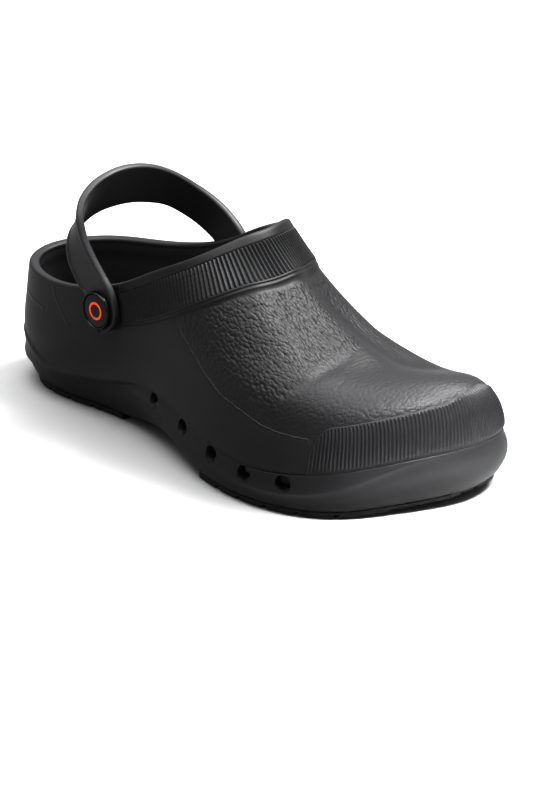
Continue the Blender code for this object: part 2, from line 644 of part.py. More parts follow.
def make_rivet(name, side, pivot_x):
    """Press rivet: domed head outside the strap's lobe, shank through strap and wall, flat flange inside."""
    head = STRAP_THICK + GAP
    inside = -(RIVET_GRIP + 2 * GAP)
    profile = [(HEAD_RADIUS * out, head + HEAD_RISE * up) for out, up in HEAD_PROFILE]
    profile += [
        (HOLE_RADIUS - GAP, head),
        (HOLE_RADIUS - GAP, inside),
        (FLANGE_RADIUS, inside),
        (FLANGE_RADIUS, inside - FLANGE_THICK),
        (0.0, inside - FLANGE_THICK),
    ]
    mesh = bpy.data.meshes.new(name)
    edges = [(i, i + 1) for i in range(len(profile) - 1)]
    mesh.from_pydata([(r, 0.0, h) for r, h in profile], edges, [])
    mesh.materials.append(GLOSS)
    item = bpy.data.objects.new(name, mesh)
    clog.objects.link(item)
    turn = item.modifiers.new("turned", "SCREW")
    turn.steps = turn.render_steps = RIVET_SIDES
    turn.use_merge_vertices = True
    turn.merge_threshold = 0.00005
    item.location = (pivot_x - ORIGIN_X, side * LOBE_FACE - ORIGIN_Y, PIVOT_Z)
    item.rotation_euler = (np.pi / 2 * -side, 0.0, 0.0)
    return item


make_upper()
make_midsole()
make_pad("outsole_heel", *HEEL_PAD, HEEL_GROOVES)
make_pad("outsole_forefoot", *FORE_PAD, FORE_GROOVES)
make_insole()
make_strap()
make_rivet("rivet_outer", -1, OUTER_PIVOT_X)
make_rivet("rivet_inner", 1, INNER_PIVOT_X)
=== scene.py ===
import bmesh
import bpy
import numpy as np
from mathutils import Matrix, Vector


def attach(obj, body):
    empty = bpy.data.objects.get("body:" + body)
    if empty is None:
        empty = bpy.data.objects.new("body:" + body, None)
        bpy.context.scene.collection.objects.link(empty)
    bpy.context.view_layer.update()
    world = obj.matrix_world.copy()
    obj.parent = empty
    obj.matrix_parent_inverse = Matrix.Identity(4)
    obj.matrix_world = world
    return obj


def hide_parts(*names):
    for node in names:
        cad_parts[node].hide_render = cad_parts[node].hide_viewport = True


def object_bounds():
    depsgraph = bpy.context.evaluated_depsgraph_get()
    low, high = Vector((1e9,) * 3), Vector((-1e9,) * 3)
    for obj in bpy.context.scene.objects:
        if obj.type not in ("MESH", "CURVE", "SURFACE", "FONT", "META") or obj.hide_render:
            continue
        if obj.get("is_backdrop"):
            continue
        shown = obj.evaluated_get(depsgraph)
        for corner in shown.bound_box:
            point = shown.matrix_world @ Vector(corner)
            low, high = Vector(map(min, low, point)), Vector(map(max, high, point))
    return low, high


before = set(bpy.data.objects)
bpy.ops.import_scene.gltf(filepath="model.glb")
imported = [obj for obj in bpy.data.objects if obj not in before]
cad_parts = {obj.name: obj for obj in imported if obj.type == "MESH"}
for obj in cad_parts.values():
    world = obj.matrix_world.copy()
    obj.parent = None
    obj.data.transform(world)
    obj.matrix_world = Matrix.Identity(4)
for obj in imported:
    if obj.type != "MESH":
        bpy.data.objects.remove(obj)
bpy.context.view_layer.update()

scene = bpy.context.scene

# Sole unit: the foam cup under the shoe, moulded in one shot, with a vent channel under the upper's edge,
# a lip below it, a bumper round the toe, an arch and a tucked-in heel. Round vents are pierced through it.
MM = 0.001
ORIGIN = np.array((135.94, -0.75, 0.0))   # the frame's origin, from heel back and middle
LENGTH = 270.0        # joint line of sole and upper, heel back to toe tip
BALL_WIDTH = 109.0    # and across the ball
INSTEP = 102.0        # throat of the collar above the floor
TREAD = 3.3           # underside of the unit above the floor
ARCH = (84.0, 170.0, 5.0)        # from, to, rise
TOE_SPRING = (224.0, 5.0)        # from, rise at the tip
HEEL_ROCKER = (26.0, 7.0)        # to, rise at the heel back
CAVITY_EDGE = 5.2     # wall of the cup, inside the joint line
SPINE_SHARE = 0.75    # flat faces close along a middle line this share of their length
FOOTBED = ((0, 19.0), (60, 18.0), (125, 12.0), (190, 6.2), (235, 7.8), (270, 12.0))
VENT_AT = (124.3, 150.6, 174.4, 196.1, 216.7)
VENT_RADII = (3.6, 3.6, 3.7, 3.8, 3.9)
VENT_LIP = 0.3
LEDGE = 0.6           # round the toe the top of the wall stands out past the upper
LEDGE_END = (0.13, 0.20)         # it dies away between these shares from the toe
LEDGE_ROUND = 0.4     # and its edge is rounded
SET_IN = 0.6          # share of the channel's depth that shows at the joint
VENT_REACH = (-14.0, 12.0)       # a vent's cutter runs from inside the cup to outside the wall
BASE_EASE = 0.25      # the side's foot is rounded in by this much
BASE_INSET = 0.3      # and the underside starts this far in
SOLE_COLUMNS = 600
SHARP = 0.6           # edges bent by more than this stay sharp, in radians

# Places round the joint line from the toe tip along the little-toe side to the heel and back.
# Lengthwise in hundredths of LENGTH, crosswise of BALL_WIDTH, heights of INSTEP.
JOINT = (
    # place               along  across  height
    ("toe tip",             100.0,  12.8, 29.3),
    ("little-toe corner",    95.9, -12.8, 26.7),
    ("little toe",           87.8, -37.6, 21.3),
    ("outer ball",           72.6, -51.4, 17.4),
    ("outer waist",          47.0, -41.3, 27.3),
    ("outer pivot",          30.4, -34.5, 21.6),
    ("outer heel",           14.8, -33.9, 15.2),
    ("outer heel corner",     4.1, -22.9, 15.2),
    ("heel back",             0.0,   0.0, 16.2),
    ("inner heel corner",     4.1,  22.0, 15.2),
    ("inner heel",           14.8,  32.1, 15.2),
    ("inner pivot",          31.9,  33.5, 21.6),
    ("inner waist",          48.9,  37.6, 26.9),
    ("inner ball",           74.8,  48.6, 17.0),
    ("big toe",              89.6,  45.9, 22.6),
    ("big-toe corner",       97.4,  34.9, 28.0),
)
# Side of the unit at the same places from toe tip to heel back, alike on both sides, in millimetres
SIDES = (
    # channel in, ridge out, ridge drop, bulge out, bulge share, base out
    (0.0,  0.7,  1.2,  1.9, 0.42, -4.2),
    (0.0,  0.9,  1.6,  2.5, 0.42, -3.2),
    (0.2,  1.7,  7.6,  3.3, 0.50,  0.2),
    (0.5,  1.2,  8.0,  2.2, 0.52,  0.4),
    (0.4,  0.6,  7.6, -0.4, 0.45, -4.0),
    (0.0,  0.2,  1.8, -1.2, 0.45, -5.6),
    (0.0,  0.2,  1.0, -0.8, 0.45, -3.4),
    (0.0,  0.2,  1.0, -1.0, 0.45, -5.0),
    (0.0,  0.2,  1.0, -1.6, 0.45, -8.0),
)
LAST = dict(zip(("along", "across", "joint"), (np.array([row[1:] for row in JOINT])
                                               * (LENGTH, BALL_WIDTH, INSTEP) / 100).T))
LAST.update(zip(("channel_in", "ridge_out", "ridge_drop", "bulge_out", "bulge_share", "base_out"),
                np.array(SIDES + SIDES[-2:0:-1]).T))
ring = np.stack([LAST["along"], LAST["across"]], 1)
walk = np.cumsum(np.linalg.norm(np.roll(ring, -1, 0) - ring, axis=1))
SHARE = np.concatenate([[0], walk[:-1]]) / walk[-1]
AROUND = walk[-1]     # length of the joint line


def around(name, t):
    """A column of the last's tables at shares t of the joint line.

    It is the closed cubic curve through the column's places; its pieces meet with the same slope and bend.
    """
    values = LAST[name]
    step = np.diff(np.append(SHARE, 1.0))
    before = np.roll(step, 1)
    system = np.diag(2 * (before + step)) + np.roll(np.diag(step), 1, 1) + np.roll(np.diag(before), -1, 1)
    rise = (np.roll(values, -1) - values) / step
    bend = np.linalg.solve(system, 6 * (rise - np.roll(rise, 1)))
    at = np.mod(t, 1.0)
    i = np.clip(np.searchsorted(SHARE, at, side="right") - 1, 0, len(step) - 1)
    k = (i + 1) % len(step)
    b = (at - SHARE[i]) / step[i]
    a = 1 - b
    sag = ((a**3 - a) * bend[i] + (b**3 - b) * bend[k]) * step[i] ** 2 / 6
    return a * values[i] + b * values[k] + sag


def unit(vectors):
    """Vectors scaled to a length of one."""
    return vectors / np.linalg.norm(vectors, axis=-1, keepdims=True)


def joint_line(t):
    """Plan of the joint line at shares t, and the level direction out of the shoe, square to the line."""
    near = 1e-4
    plan = np.stack([around("along", t), around("across", t)], -1)
    run = [around(name, t + near) - around(name, t - near) for name in ("along", "across")]
    return plan, unit(np.stack([-run[1], run[0]], -1))


def share_at(distance, side):
    """Share of the joint line at a distance from the heel back, on the outer (-1) or inner (1) side."""
    t = np.linspace(0.02, 0.48, 800) if side < 0 else np.linspace(0.98, 0.52, 800)
    return float(np.interp(-distance, -around("along", t), t))


def smooth(low, high, x):
    """Step from 0 at low to 1 at high, level at both ends."""
    s = np.clip((x - low) / (high - low), 0, 1)
    return s * s * (3 - 2 * s)


def tread_face(x):
    """Height of the walking face: level, with a parabola up to the heel back and one up to the toe tip."""
    spring = np.clip((x - TOE_SPRING[0]) / (LENGTH - TOE_SPRING[0]), 0, None)
    rocker = np.clip((HEEL_ROCKER[0] - x) / HEEL_ROCKER[0], 0, None)
    return TOE_SPRING[1] * spring**2 + HEEL_ROCKER[1] * rocker**2


def under(x):
    """Underside of the sole unit: the walking face plus the tread, with a squared sine for the arch."""
    span = np.clip((x - ARCH[0]) / (ARCH[1] - ARCH[0]), 0, 1)
    return TREAD + ARCH[2] * np.sin(np.pi * span) ** 2 + tread_face(x)


def footbed(x):
    """Floor of the cup along the foot: straight lines between the table's rows, blurred over 60 mm."""
    fine = np.linspace(0, LENGTH, 271)
    blur = np.hanning(61)
    level = np.interp(fine, *np.array(FOOTBED).T)
    return np.interp(x, fine, np.convolve(np.pad(level, 30, "edge"), blur / blur.sum(), "valid"))


def ring_rows(t, out_by, height):
    """Rows of points standing out from the joint line by out_by, at the given heights."""
    plan, out = joint_line(t)
    point = plan + out * np.asarray(out_by)[..., None]
    level = height(point[..., 0]) if callable(height) else height
    return np.concatenate([point, np.broadcast_to(level, point.shape[:-1])[..., None]], -1)


def drawn_in(edge, share, height):
    """Rows from a ring towards its own middle line, by shares of the way, on a surface of given height."""
    plan = edge[:, :2]
    middle = (plan + plan[-np.arange(len(plan))]) / 2
    centre = (middle.min(0) + middle.max(0)) / 2
    spine = centre + SPINE_SHARE * (middle - centre)
    point = plan + (spine - plan) * share[:, None, None]
    return np.concatenate([point, height(point[..., :1])], -1)


def side_bow(t, s):
    """How far the unit's side stands out: the parabola from ridge (s 0) through bulge to base (s 1)."""
    ridge, bulge, base = (around(name, t) for name in ("ridge_out", "bulge_out", "base_out"))
    m = around("bulge_share", t)
    return (ridge * (s - m) * (s - 1) / m
            + bulge * s * (s - 1) / (m * (m - 1))
            + base * s * (s - m) / (1 - m))


def from_toe(t):
    """Signed share of the joint line from the toe tip, plus on the outer side, minus on the inner side."""
    return np.mod(t + 0.5, 1.0) - 0.5


def channel_cove(t, s):
    """Vent channel from the joint (s 0) to the ridge (s 1), coming out to the ridge as a cubic cove.

    It starts set in, or as a small ledge round the toe, and its top edge is rounded over.
    """
    ledge = LEDGE * (1 - smooth(*LEDGE_END, np.abs(from_toe(t))))
    start = ledge - SET_IN * np.clip(around("channel_in", t), 0, None)
    left = np.clip(LEDGE_ROUND - s * around("ridge_drop", t), 0, None)
    corner = LEDGE_ROUND - np.sqrt(LEDGE_ROUND**2 - left**2)
    return start + (around("ridge_out", t) - start) * s**3 - corner


def grid_faces(rows, columns, first, wrap_rows, wrap_columns):
    """Quads between neighbours of a grid whose points are numbered row by row from first."""
    number = first + np.arange(rows * columns).reshape(rows, columns)
    number = np.concatenate([number, number[:, :1]], 1) if wrap_columns else number
    number = np.concatenate([number, number[:1]], 0) if wrap_rows else number
    return np.stack([number[:-1, :-1], number[:-1, 1:], number[1:, 1:], number[1:, :-1]], -1).reshape(-1, 4)


def foam_piece(name, grids, finish, marks=None, sharp=SHARP):
    """One piece from grids of points in the last's millimetres.

    Each grid is (points, wrap rows, wrap columns). Points that coincide are merged, which closes folded
    edges and poles, and the faces are turned outwards. The finish reads the marks, values at the points.
    """
    faces, first = [], 0
    for points, wrap_rows, wrap_columns in grids:
        faces.append(grid_faces(*points.shape[:2], first, wrap_rows, wrap_columns))
        first += points.shape[0] * points.shape[1]
    place = np.concatenate([points.reshape(-1, 3) for points, _, _ in grids])
    mesh = bpy.data.meshes.new(name)
    mesh.from_pydata(((place - ORIGIN) * MM).tolist(), [], np.concatenate(faces).tolist())
    for mark, values in (marks or {}).items():
        kind, field = ("FLOAT", "value") if values.ndim == 1 else ("FLOAT_VECTOR", "vector")
        mesh.attributes.new(mark, kind, "POINT").data.foreach_set(field, values.astype(np.float32).ravel())
    work = bmesh.new()
    work.from_mesh(mesh)
    bmesh.ops.remove_doubles(work, verts=work.verts, dist=2e-6)
    bmesh.ops.dissolve_degenerate(work, edges=work.edges, dist=1e-7)
    bmesh.ops.recalc_face_normals(work, faces=work.faces)
    work.to_mesh(mesh)
    work.free()
    mesh.shade_smooth()
    mesh.set_sharp_from_angle(angle=sharp)
    mesh.materials.append(finish)
    piece = bpy.data.objects.new(name, mesh)
    scene.collection.objects.link(piece)
    return piece


def feed(finish, node, inputs):
    """Set inputs of a node, each to a value or to another node's output."""
    for socket, value in inputs.items():
        if isinstance(value, bpy.types.NodeSocket):
            finish.node_tree.links.new(value, node.inputs[socket])
        else:
            node.inputs[socket].default_value = value


def add_node(finish, kind, inputs, **settings):
    """A new node in a finish, with its settings and inputs."""
    node = finish.node_tree.nodes.new("ShaderNode" + kind)
    for setting, value in settings.items():
        setattr(node, setting, value)
    feed(finish, node, inputs)
    return node


def moulded_foam(name, colour, roughness, skin=0.03):
    """Finish of moulded foam: a dark colour and a roughness that drift a little together, and a skin of
    fine pits in a bump node named skin. The skin is the pits' depth in millimetres."""
    finish = bpy.data.materials.new(name)
    finish.use_nodes = True
    place = add_node(finish, "TexCoord", {}).outputs["Object"]
    drift = add_node(finish, "TexNoise", {"Vector": place, "Scale": 45.0, "Detail": 4.0}).outputs["Fac"]
    tone = add_node(finish, "ValToRGB", {"Fac": drift})
    for end, share in zip(tone.color_ramp.elements, (0.85, 1.15)):
        end.color = (*(share * c for c in colour), 1)
    dull = add_node(finish, "MapRange",
                    {"Value": drift, "To Min": roughness - 0.05, "To Max": roughness + 0.07})
    pits = add_node(finish, "TexNoise", {"Vector": place, "Scale": 2600.0, "Detail": 2.0})
    bump = add_node(finish, "Bump", name="skin", inputs={
        "Height": pits.outputs["Fac"], "Strength": 0.35, "Distance": skin * MM})
    feed(finish, finish.node_tree.nodes["Principled BSDF"],
         {"Base Color": tone.outputs["Color"], "Roughness": dull.outputs["Result"],
          "Specular IOR Level": 0.20, "Normal": bump.outputs["Normal"]})
    return finish


def pierced(piece, cutters):
    """Cut round holes through a piece and keep the result as its mesh."""
    for cutter in cutters:
        cut = piece.modifiers.new(cutter.name, "BOOLEAN")
        cut.object = cutter
        cut.operation = "DIFFERENCE"
        cut.solver = "EXACT"
    bpy.context.view_layer.update()
    whole = piece.evaluated_get(bpy.context.evaluated_depsgraph_get())
    mesh = bpy.data.meshes.new_from_object(whole)
    piece.modifiers.clear()
    piece.data = mesh
    mesh.shade_smooth()
    mesh.set_sharp_from_angle(angle=SHARP)
    for cutter in cutters:
        bpy.data.objects.remove(cutter, do_unlink=True)


def turned(name, profile, centre, axis, finish, sides=48, marks=None):
    """A profile of (radius, distance along the axis) turned round a level axis through centre."""
    radius, along = np.array(profile, float).T
    turn = np.linspace(0, 2 * np.pi, sides, endpoint=False)
    axis = np.array((axis[0], axis[1], 0.0))
    level = np.array((-axis[1], axis[0], 0.0))
    spoke = np.cos(turn)[:, None] * level + np.sin(turn)[:, None] * np.array((0.0, 0.0, 1.0))
    points = np.asarray(centre) + radius[:, None, None] * spoke + along[:, None, None] * axis
    if marks:
        marks = {mark: np.repeat(values, sides) for mark, values in marks.items()}
    return foam_piece(name, [(points, False, True)], finish, marks)


sole_foam = moulded_foam("sole_foam", (0.0090, 0.0090, 0.0097), 0.48)
t = np.linspace(0, 1, SOLE_COLUMNS, endpoint=False)
joint = around("joint", t)
ridge = joint - around("ridge_drop", t)
s = np.concatenate([(0, 0.012, 0.025, 0.045, 0.07, 0.11), np.linspace(0.18, 1, 10)])[:, None]
floor_edge = ring_rows(t, np.full(SOLE_COLUMNS, -CAVITY_EDGE), footbed)
cup = drawn_in(floor_edge, np.array((1.0, 0.6, 0.3, 0.0)), footbed)
wall = ring_rows(t, np.full((4, SOLE_COLUMNS), -CAVITY_EDGE),
                 floor_edge[:, 2] + (joint - floor_edge[:, 2]) * np.array((0.3, 0.6, 0.9, 1.0))[:, None])
channel = ring_rows(t, channel_cove(t, s), joint + (ridge - joint) * s)
base = ring_rows(t, around("base_out", t), under)
s = np.concatenate([np.linspace(0.03, 0.9, 26), (0.94, 0.97, 0.99)])[:, None]
side = ring_rows(t, side_bow(t, s) - BASE_EASE * smooth(0.9, 1.0, s) ** 3, ridge + (base[:, 2] - ridge) * s)
bottom = drawn_in(ring_rows(t, around("base_out", t) - BASE_INSET, under), np.linspace(0, 1, 6), under)
sole_rows = np.concatenate([cup, wall, channel, side, bottom])
sole_unit = foam_piece("sole_unit", [(sole_rows, False, True)], sole_foam)
vents = []
for side_sign, label in ((-1, "outer"), (1, "inner")):
    for number, (distance, radius) in enumerate(zip(VENT_AT, VENT_RADII), 1):
        share = np.array([share_at(distance, side_sign)])
        plan, out = joint_line(share)
        height = around("joint", share)[0] - around("ridge_drop", share)[0] / 2
        mouth = float(channel_cove(share, 0.5)[0])
        inside, outside = VENT_REACH
        profile = ((0, inside), (radius, inside), (radius, mouth - VENT_LIP),
                   (radius + VENT_LIP, mouth + VENT_LIP), (radius + VENT_LIP, outside), (0, outside))
        vents.append(turned(f"{label}_vent_{number}", profile, (*plan[0], height), out[0], sole_foam, 40))
pierced(sole_unit, vents)
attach(sole_unit, "root")
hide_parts("midsole")

# Tread pads: two slabs of harder rubber bonded into the underside, at the heel and under the forefoot,
# cut into lugs by cross and lengthwise grooves, with fine cuts across each lug for grip.
PAD_INSET = 0.3
HEEL_PAD = (12.5, 88.0)
FORE_PAD = (163.0, 263.5)
HEEL_GROOVES = (22.0, 37.0, 52.0, 67.0)
FORE_GROOVES = (178.0, 193.0, 208.0, 223.0, 238.0, 252.0)
LONG_GROOVES = (0.34, 0.66)
GROOVE_WIDTH = 3.0
GROOVE_DEPTH = 2.0
GROOVE_FLOOR = 0.8    # half the width of a groove's floor
SIPE_PITCH = 5.0
SIPE_DEPTH = 0.5
PAD_EASE = 0.6        # rounding along the pad's edges
PAD_GAP = 0.3         # between pad and sole unit
TOE_THINNING = (238.0, 263.0, 1.3)   # the forefoot pad grows thinner: from, to, by


def pad_edges(x):
    """Outer and inner edge of a pad across the shoe: the unit's base, set in."""
    t = np.linspace(0, 1, 800, endpoint=False)
    edge = ring_rows(t, around("base_out", t) - PAD_INSET, 0.0)
    edge = np.roll(edge, -edge[:, 0].argmax(), 0)
    heel = edge[:, 0].argmin()
    outer, inner = edge[:heel + 1], edge[heel:]
    return np.interp(-x, -outer[:, 0], outer[:, 1]), np.interp(x, inner[:, 0], inner[:, 1])


def tread_pad(name, span, grooves, stations, finish):
    """Slab between the unit's underside and the walking face; its ends fold shut.

    Each groove is a notch with sloped sides, and the sipes are shallow notches between the grooves.
    """
    x = np.linspace(*span, stations)
    share = np.linspace(0, 1, 60)
    outer, inner = pad_edges(x)
    across = outer[:, None] + (inner - outer)[:, None] * share
    along = np.repeat(x[:, None], len(share), 1)
    gap = np.abs(x[:, None] - np.array(grooves)).min(1)[:, None]
    lane = np.abs(share[:, None] - np.array(LONG_GROOVES)).min(1) * (inner - outer)[:, None]
    sipe = np.abs((x / SIPE_PITCH) % 1 - 0.5)[:, None] * SIPE_PITCH
    cut = 1 - smooth(GROOVE_FLOOR, GROOVE_WIDTH / 2, np.minimum(gap, lane))
    fine = (1 - smooth(0.2, 0.5, sipe)) * smooth(0.06, 0.1, np.minimum(share, 1 - share))
    drop = np.maximum(cut * GROOVE_DEPTH, fine * SIPE_DEPTH)
    edge = PAD_EASE * (1 - smooth(0, 0.03, np.minimum(share, 1 - share)))
    start, stop, by = TOE_THINNING
    thinned = by * smooth(start, stop, along)
    level = tread_face(along) + np.maximum(drop, edge) * (1 - 0.5 * thinned) + thinned
    face = np.stack([along, across, level], 2)
    top = np.stack([along, across, under(along) - PAD_GAP], 2)
    loop = np.concatenate([face, top[:, ::-1]], 1)
    ends = [np.concatenate([top[i], top[i, ::-1]])[None] for i in (0, -1)]
    slab = np.concatenate([ends[0], loop, ends[1]])
    return foam_piece(name, [(slab, False, True)], finish, sharp=0.5)


tread_rubber = moulded_foam("tread_rubber", (0.0080, 0.0080, 0.0083), 0.55, skin=0.05)
for name, node, span, grooves, stations in (
        ("heel_tread", "outsole_heel", HEEL_PAD, HEEL_GROOVES, 190),
        ("forefoot_tread", "outsole_forefoot", FORE_PAD, FORE_GROOVES, 265)):
    pad = tread_pad(name, span, grooves, stations, tread_rubber)
    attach(pad, "root")
    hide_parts(node)

# Insole: a loose sheet of softer foam, cut to the cup, lying on its floor. Its top is dished up round the
# heel and has a fine pebbled skin.
INSOLE_THICK = 4.0
INSOLE_EDGE = 6.6     # inside the joint line
INSOLE_GAP = 0.5      # above the cup's floor
INSOLE_EASE = 1.0     # rounding of the top edge
HEEL_DISH = 2.2       # rise of the edge round the heel
INSOLE_COLUMNS = 240


def insole_top(x, share):
    """Top of the insole: the cup's floor, the sheet, and a rise to the edge that fades from the heel on."""
    dish = HEEL_DISH * (1 - smooth(0, 0.55, share)) * (1 - smooth(60, 130, x))
    return footbed(x) + INSOLE_GAP + INSOLE_THICK + dish


t = np.linspace(0, 1, INSOLE_COLUMNS, endpoint=False)
level_ring = np.ones(INSOLE_COLUMNS)
low = ring_rows(t, -INSOLE_EDGE * level_ring, lambda x: footbed(x) + INSOLE_GAP)
share = np.linspace(0, 1, 22)
edge = ring_rows(t, (-INSOLE_EDGE - INSOLE_EASE) * level_ring, 0.0)
top = drawn_in(edge, share, lambda x: insole_top(x, share[:, None, None]))
turn_over = np.radians((0, 25, 50, 75))[:, None]
rim = ring_rows(t, -INSOLE_EDGE - INSOLE_EASE * (1 - np.cos(turn_over)) * level_ring,
                top[0, :, 2] - INSOLE_EASE * (1 - np.sin(turn_over)))
bottom = drawn_in(low, np.array((1.0, 0.5, 0.0)), lambda x: footbed(x) + INSOLE_GAP)
footbed_foam = moulded_foam("footbed_foam", (0.020, 0.020, 0.021), 0.60, skin=0.12)
insole = foam_piece("insole_sheet", [(np.concatenate([bottom, rim, top]), False, True)], footbed_foam)
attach(insole, "root")
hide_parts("insole")

# Upper: one foam moulding, walls, vamp and collar in one, pegged down on the sole unit. A ribbed cap is
# moulded over the toe and a ribbed band round the collar; the vamp between has a pebbled leather grain.
WALL = 4.2
RIM_WALL = 5.2
CAP_STEP = 1.1
BAND_STEP = 1.0
CURVE_STEPS = 160
# Rows of the wall at the places of the joint line, in the same hundredths. The shoulder is where the side
# wall turns over; mid lies a share of the way from it to the rim; the band is the collar band's width.
WALLS = (
    # shoulder in, shoulder, mid part, mid, rim along, rim across, rim, band
    ( 4.9, 49.6, 42, 54.6, 56.5,   1.5, 99.0, 23.0),
    ( 4.7, 47.4, 42, 56.8, 56.3,  -7.0, 98.4, 23.5),
    ( 5.4, 41.8, 42, 61.0, 54.8, -16.0, 95.8, 23.5),
    ( 6.0, 41.0, 45, 62.5, 51.0, -26.6, 89.2, 22.0),
    ( 3.7, 43.1, 50, 59.2, 41.5, -33.0, 76.0, 19.5),
    ( 0.0, 35.3, 50, 49.2, 31.1, -33.3, 63.3, 17.0),
    (-0.9, 29.4, 50, 43.0, 15.6, -31.9, 54.5, 15.0),
    (-1.1, 29.4, 50, 43.0,  4.4, -21.8, 54.5, 15.0),
    (-0.9, 30.4, 50, 44.0,  0.5,   0.0, 55.5, 15.0),
    (-0.9, 29.4, 50, 44.0,  5.2,  20.8, 56.8, 15.0),
    (-0.7, 29.4, 50, 45.4, 15.9,  29.8, 59.3, 15.0),
    ( 0.0, 35.3, 50, 51.4, 31.1,  32.3, 68.2, 17.0),
    ( 3.7, 43.1, 50, 60.2, 41.0,  31.2, 80.8, 19.5),
    ( 6.4, 37.6, 45, 57.0, 50.6,  25.5, 92.6, 22.0),
    ( 7.0, 40.4, 42, 49.8, 54.0,  17.5, 97.4, 23.0),
    ( 5.9, 47.2, 42, 48.6, 55.7,   9.5, 98.8, 23.0),
)
scale = np.array((BALL_WIDTH, INSTEP, 1.0, INSTEP, LENGTH, BALL_WIDTH, INSTEP, INSTEP)) / 100
LAST.update(zip(("shoulder_in", "shoulder", "mid_part", "mid", "rim_along", "rim_across", "rim", "band"),
                (np.array(WALLS) * scale).T))


def eased_line(points, shares, start=None):
    """Smooth line through rows of points: cubic pieces with parabola slopes, each walked by the shares.

    A start is the slope at the first row.
    """
    step = np.diff(points, axis=0)
    span = np.linalg.norm(step, axis=-1, keepdims=True)
    chord = step / span
    inner = (chord[:-1] * span[1:] + chord[1:] * span[:-1]) / (span[:-1] + span[1:])
    first = 2 * chord[:1] - inner[:1] if start is None else np.broadcast_to(start, points[:1].shape)
    slope = np.concatenate([first, inner, 2 * chord[-1:] - inner[-1:]])
    w = shares[:, None, None, None]
    line = (points[:-1] + w * w * (3 - 2 * w) * step
            + w * (1 - w) ** 2 * span * slope[:-1] + w * w * (w - 1) * span * slope[1:])
    return line.transpose(1, 0, 2, 3).reshape(-1, *points.shape[1:])


def upper_skin(t, v):
    """Outer face of the upper without relief, at shares t of the joint line and rows v (rows, len(t)).

    Each column is a smooth line up the wall, upright at the joint, through shoulder, mid and rim.
    v walks it by length: 0 to 1 up to the shoulder, 1 to 2 on to the band, 2 to 3 up the band to the rim.
    """
    plan, out = joint_line(t)
    shoulder = np.column_stack([plan - out * around("shoulder_in", t)[:, None], around("shoulder", t)])
    rim = np.column_stack([around(name, t) for name in ("rim_along", "rim_across", "rim")])
    mid = shoulder + (rim - shoulder) * around("mid_part", t)[:, None]
    mid[:, 2] = around("mid", t)
    knots = np.stack([np.column_stack([plan, around("joint", t)]), shoulder, mid, rim])
    line = eased_line(knots, np.linspace(0, 1, CURVE_STEPS), (0.0, 0.0, 1.0))
    length = np.concatenate([np.zeros((1, len(t))),
                             np.cumsum(np.linalg.norm(np.diff(line, axis=0), axis=2), 0)])
    marks = np.stack([length[0], length[CURVE_STEPS - 1], length[-1] - around("band", t), length[-1]])
    part = np.clip(v.astype(int), 0, 2)
    low = np.take_along_axis(marks, part, 0)
    want = low + (np.take_along_axis(marks, part + 1, 0) - low) * (v - part)
    shift = np.arange(len(t)) * (length.max() + 1.0)
    known = (length + shift).T.ravel()
    return np.stack([np.interp(want + shift, known, line[:, :, axis].T.ravel()) for axis in range(3)], -1)


def skin_and_normal(t, v):
    """The upper's outer face and its unit normal out of the shoe, from small steps along t and v."""
    near = 2e-4
    along = upper_skin(t + near, v) - upper_skin(t - near, v)
    step = 0.004
    up = upper_skin(t, np.clip(v + step, 0, 3)) - upper_skin(t, np.clip(v - step, 0, 3))
    return upper_skin(t, v), unit(np.cross(up, along))


def away_from(points, shares, rows):
    """Distance of each point from a line drawn on the skin through the given shares and rows."""
    fine = np.linspace(0, 1, 120)
    given = np.linspace(0, 1, len(shares))
    fine_shares, fine_rows = np.interp(fine, given, shares), np.interp(fine, given, rows)
    line = upper_skin(fine_shares, fine_rows[None])[0].astype(np.float32)
    rays = (row[:, None].astype(np.float32) - line for row in points)
    return np.stack([np.linalg.norm(ray, axis=2).min(1) for ray in rays])


# Toe cap: share from the toe, row of its top edge
CAP_TOP = ((-0.13, 1.0), (-0.036, 1.01), (-0.017, 1.04), (0.007, 1.025), (0.026, 0.99), (0.05, 0.955),
           (0.08, 0.955), (0.13, 0.93))
CAP_ENDS = (share_at(226.5, -1), share_at(234.0, 1) - 1)
CAP_CORNER = 0.0215        # length of its rounded corners, in shares
CAP_LIP = 0.4              # its edge rises at once by this much
CAP_LIP_ROUND = 0.7        # in a round of this radius
CAP_SWELL = 10.0           # and reaches CAP_STEP this far in
CAP_BACK = 0.8             # its back lies this deep in the wall
CAP_RIB_PITCH = 1.7
CAP_RIB = 0.50
# Edge of the grain panel, alike on both sides: row of the wall, share from the toe
PANEL_EDGE = ((0.0, 0.100), (0.70, 0.1236), (0.738, 0.1444), (0.788, 0.1625), (0.888, 0.1833),
              (0.963, 0.2069), (1.062, 0.2200), (1.15, 0.2290), (1.4, 0.2375), (1.688, 0.2444),
              (2.0, 0.2490), (3.0, 0.2520))
PANEL_SINK = 0.25
# Flex crease across the vamp: share from the toe, row of the wall
CREASE = ((0.1514, 1.125), (0.1333, 1.225), (0.1153, 1.288), (0.0875, 1.375), (0.0514, 1.488),
          (0.0278, 1.538), (0.0069, 1.588), (-0.02, 1.63))
CREASE_FOLDS = ((0.0, 1.0), (0.085, 0.45), (0.16, 0.25))   # rows behind it and shares of its depth
CREASE_DEPTH = 1.1
CREASE_WIDTH = 2.8
BAND_ENDS = (share_at(92.5, -1), share_at(96.5, 1) - 1)
BAND_FADE = 0.004          # share over which the band's ends come up
BAND_STEPS = ((0.55, 1.985, 2.02), (0.45, 2.075, 2.10))    # share of the band's rise, from row, to row
RIB_SEAT = (2.12, 2.18, 2.84, 2.90)   # the shell drops and comes up again under the ribs
RIB_SEAT_ENDS = (0.005, 0.009)        # and does so along the band, in shares from its ends
BAND_RIBS = (2.12, 2.89)   # ribs run between these rows
BAND_RIB_PITCH = 2.05
BAND_RIB = 0.84            # from groove to crest
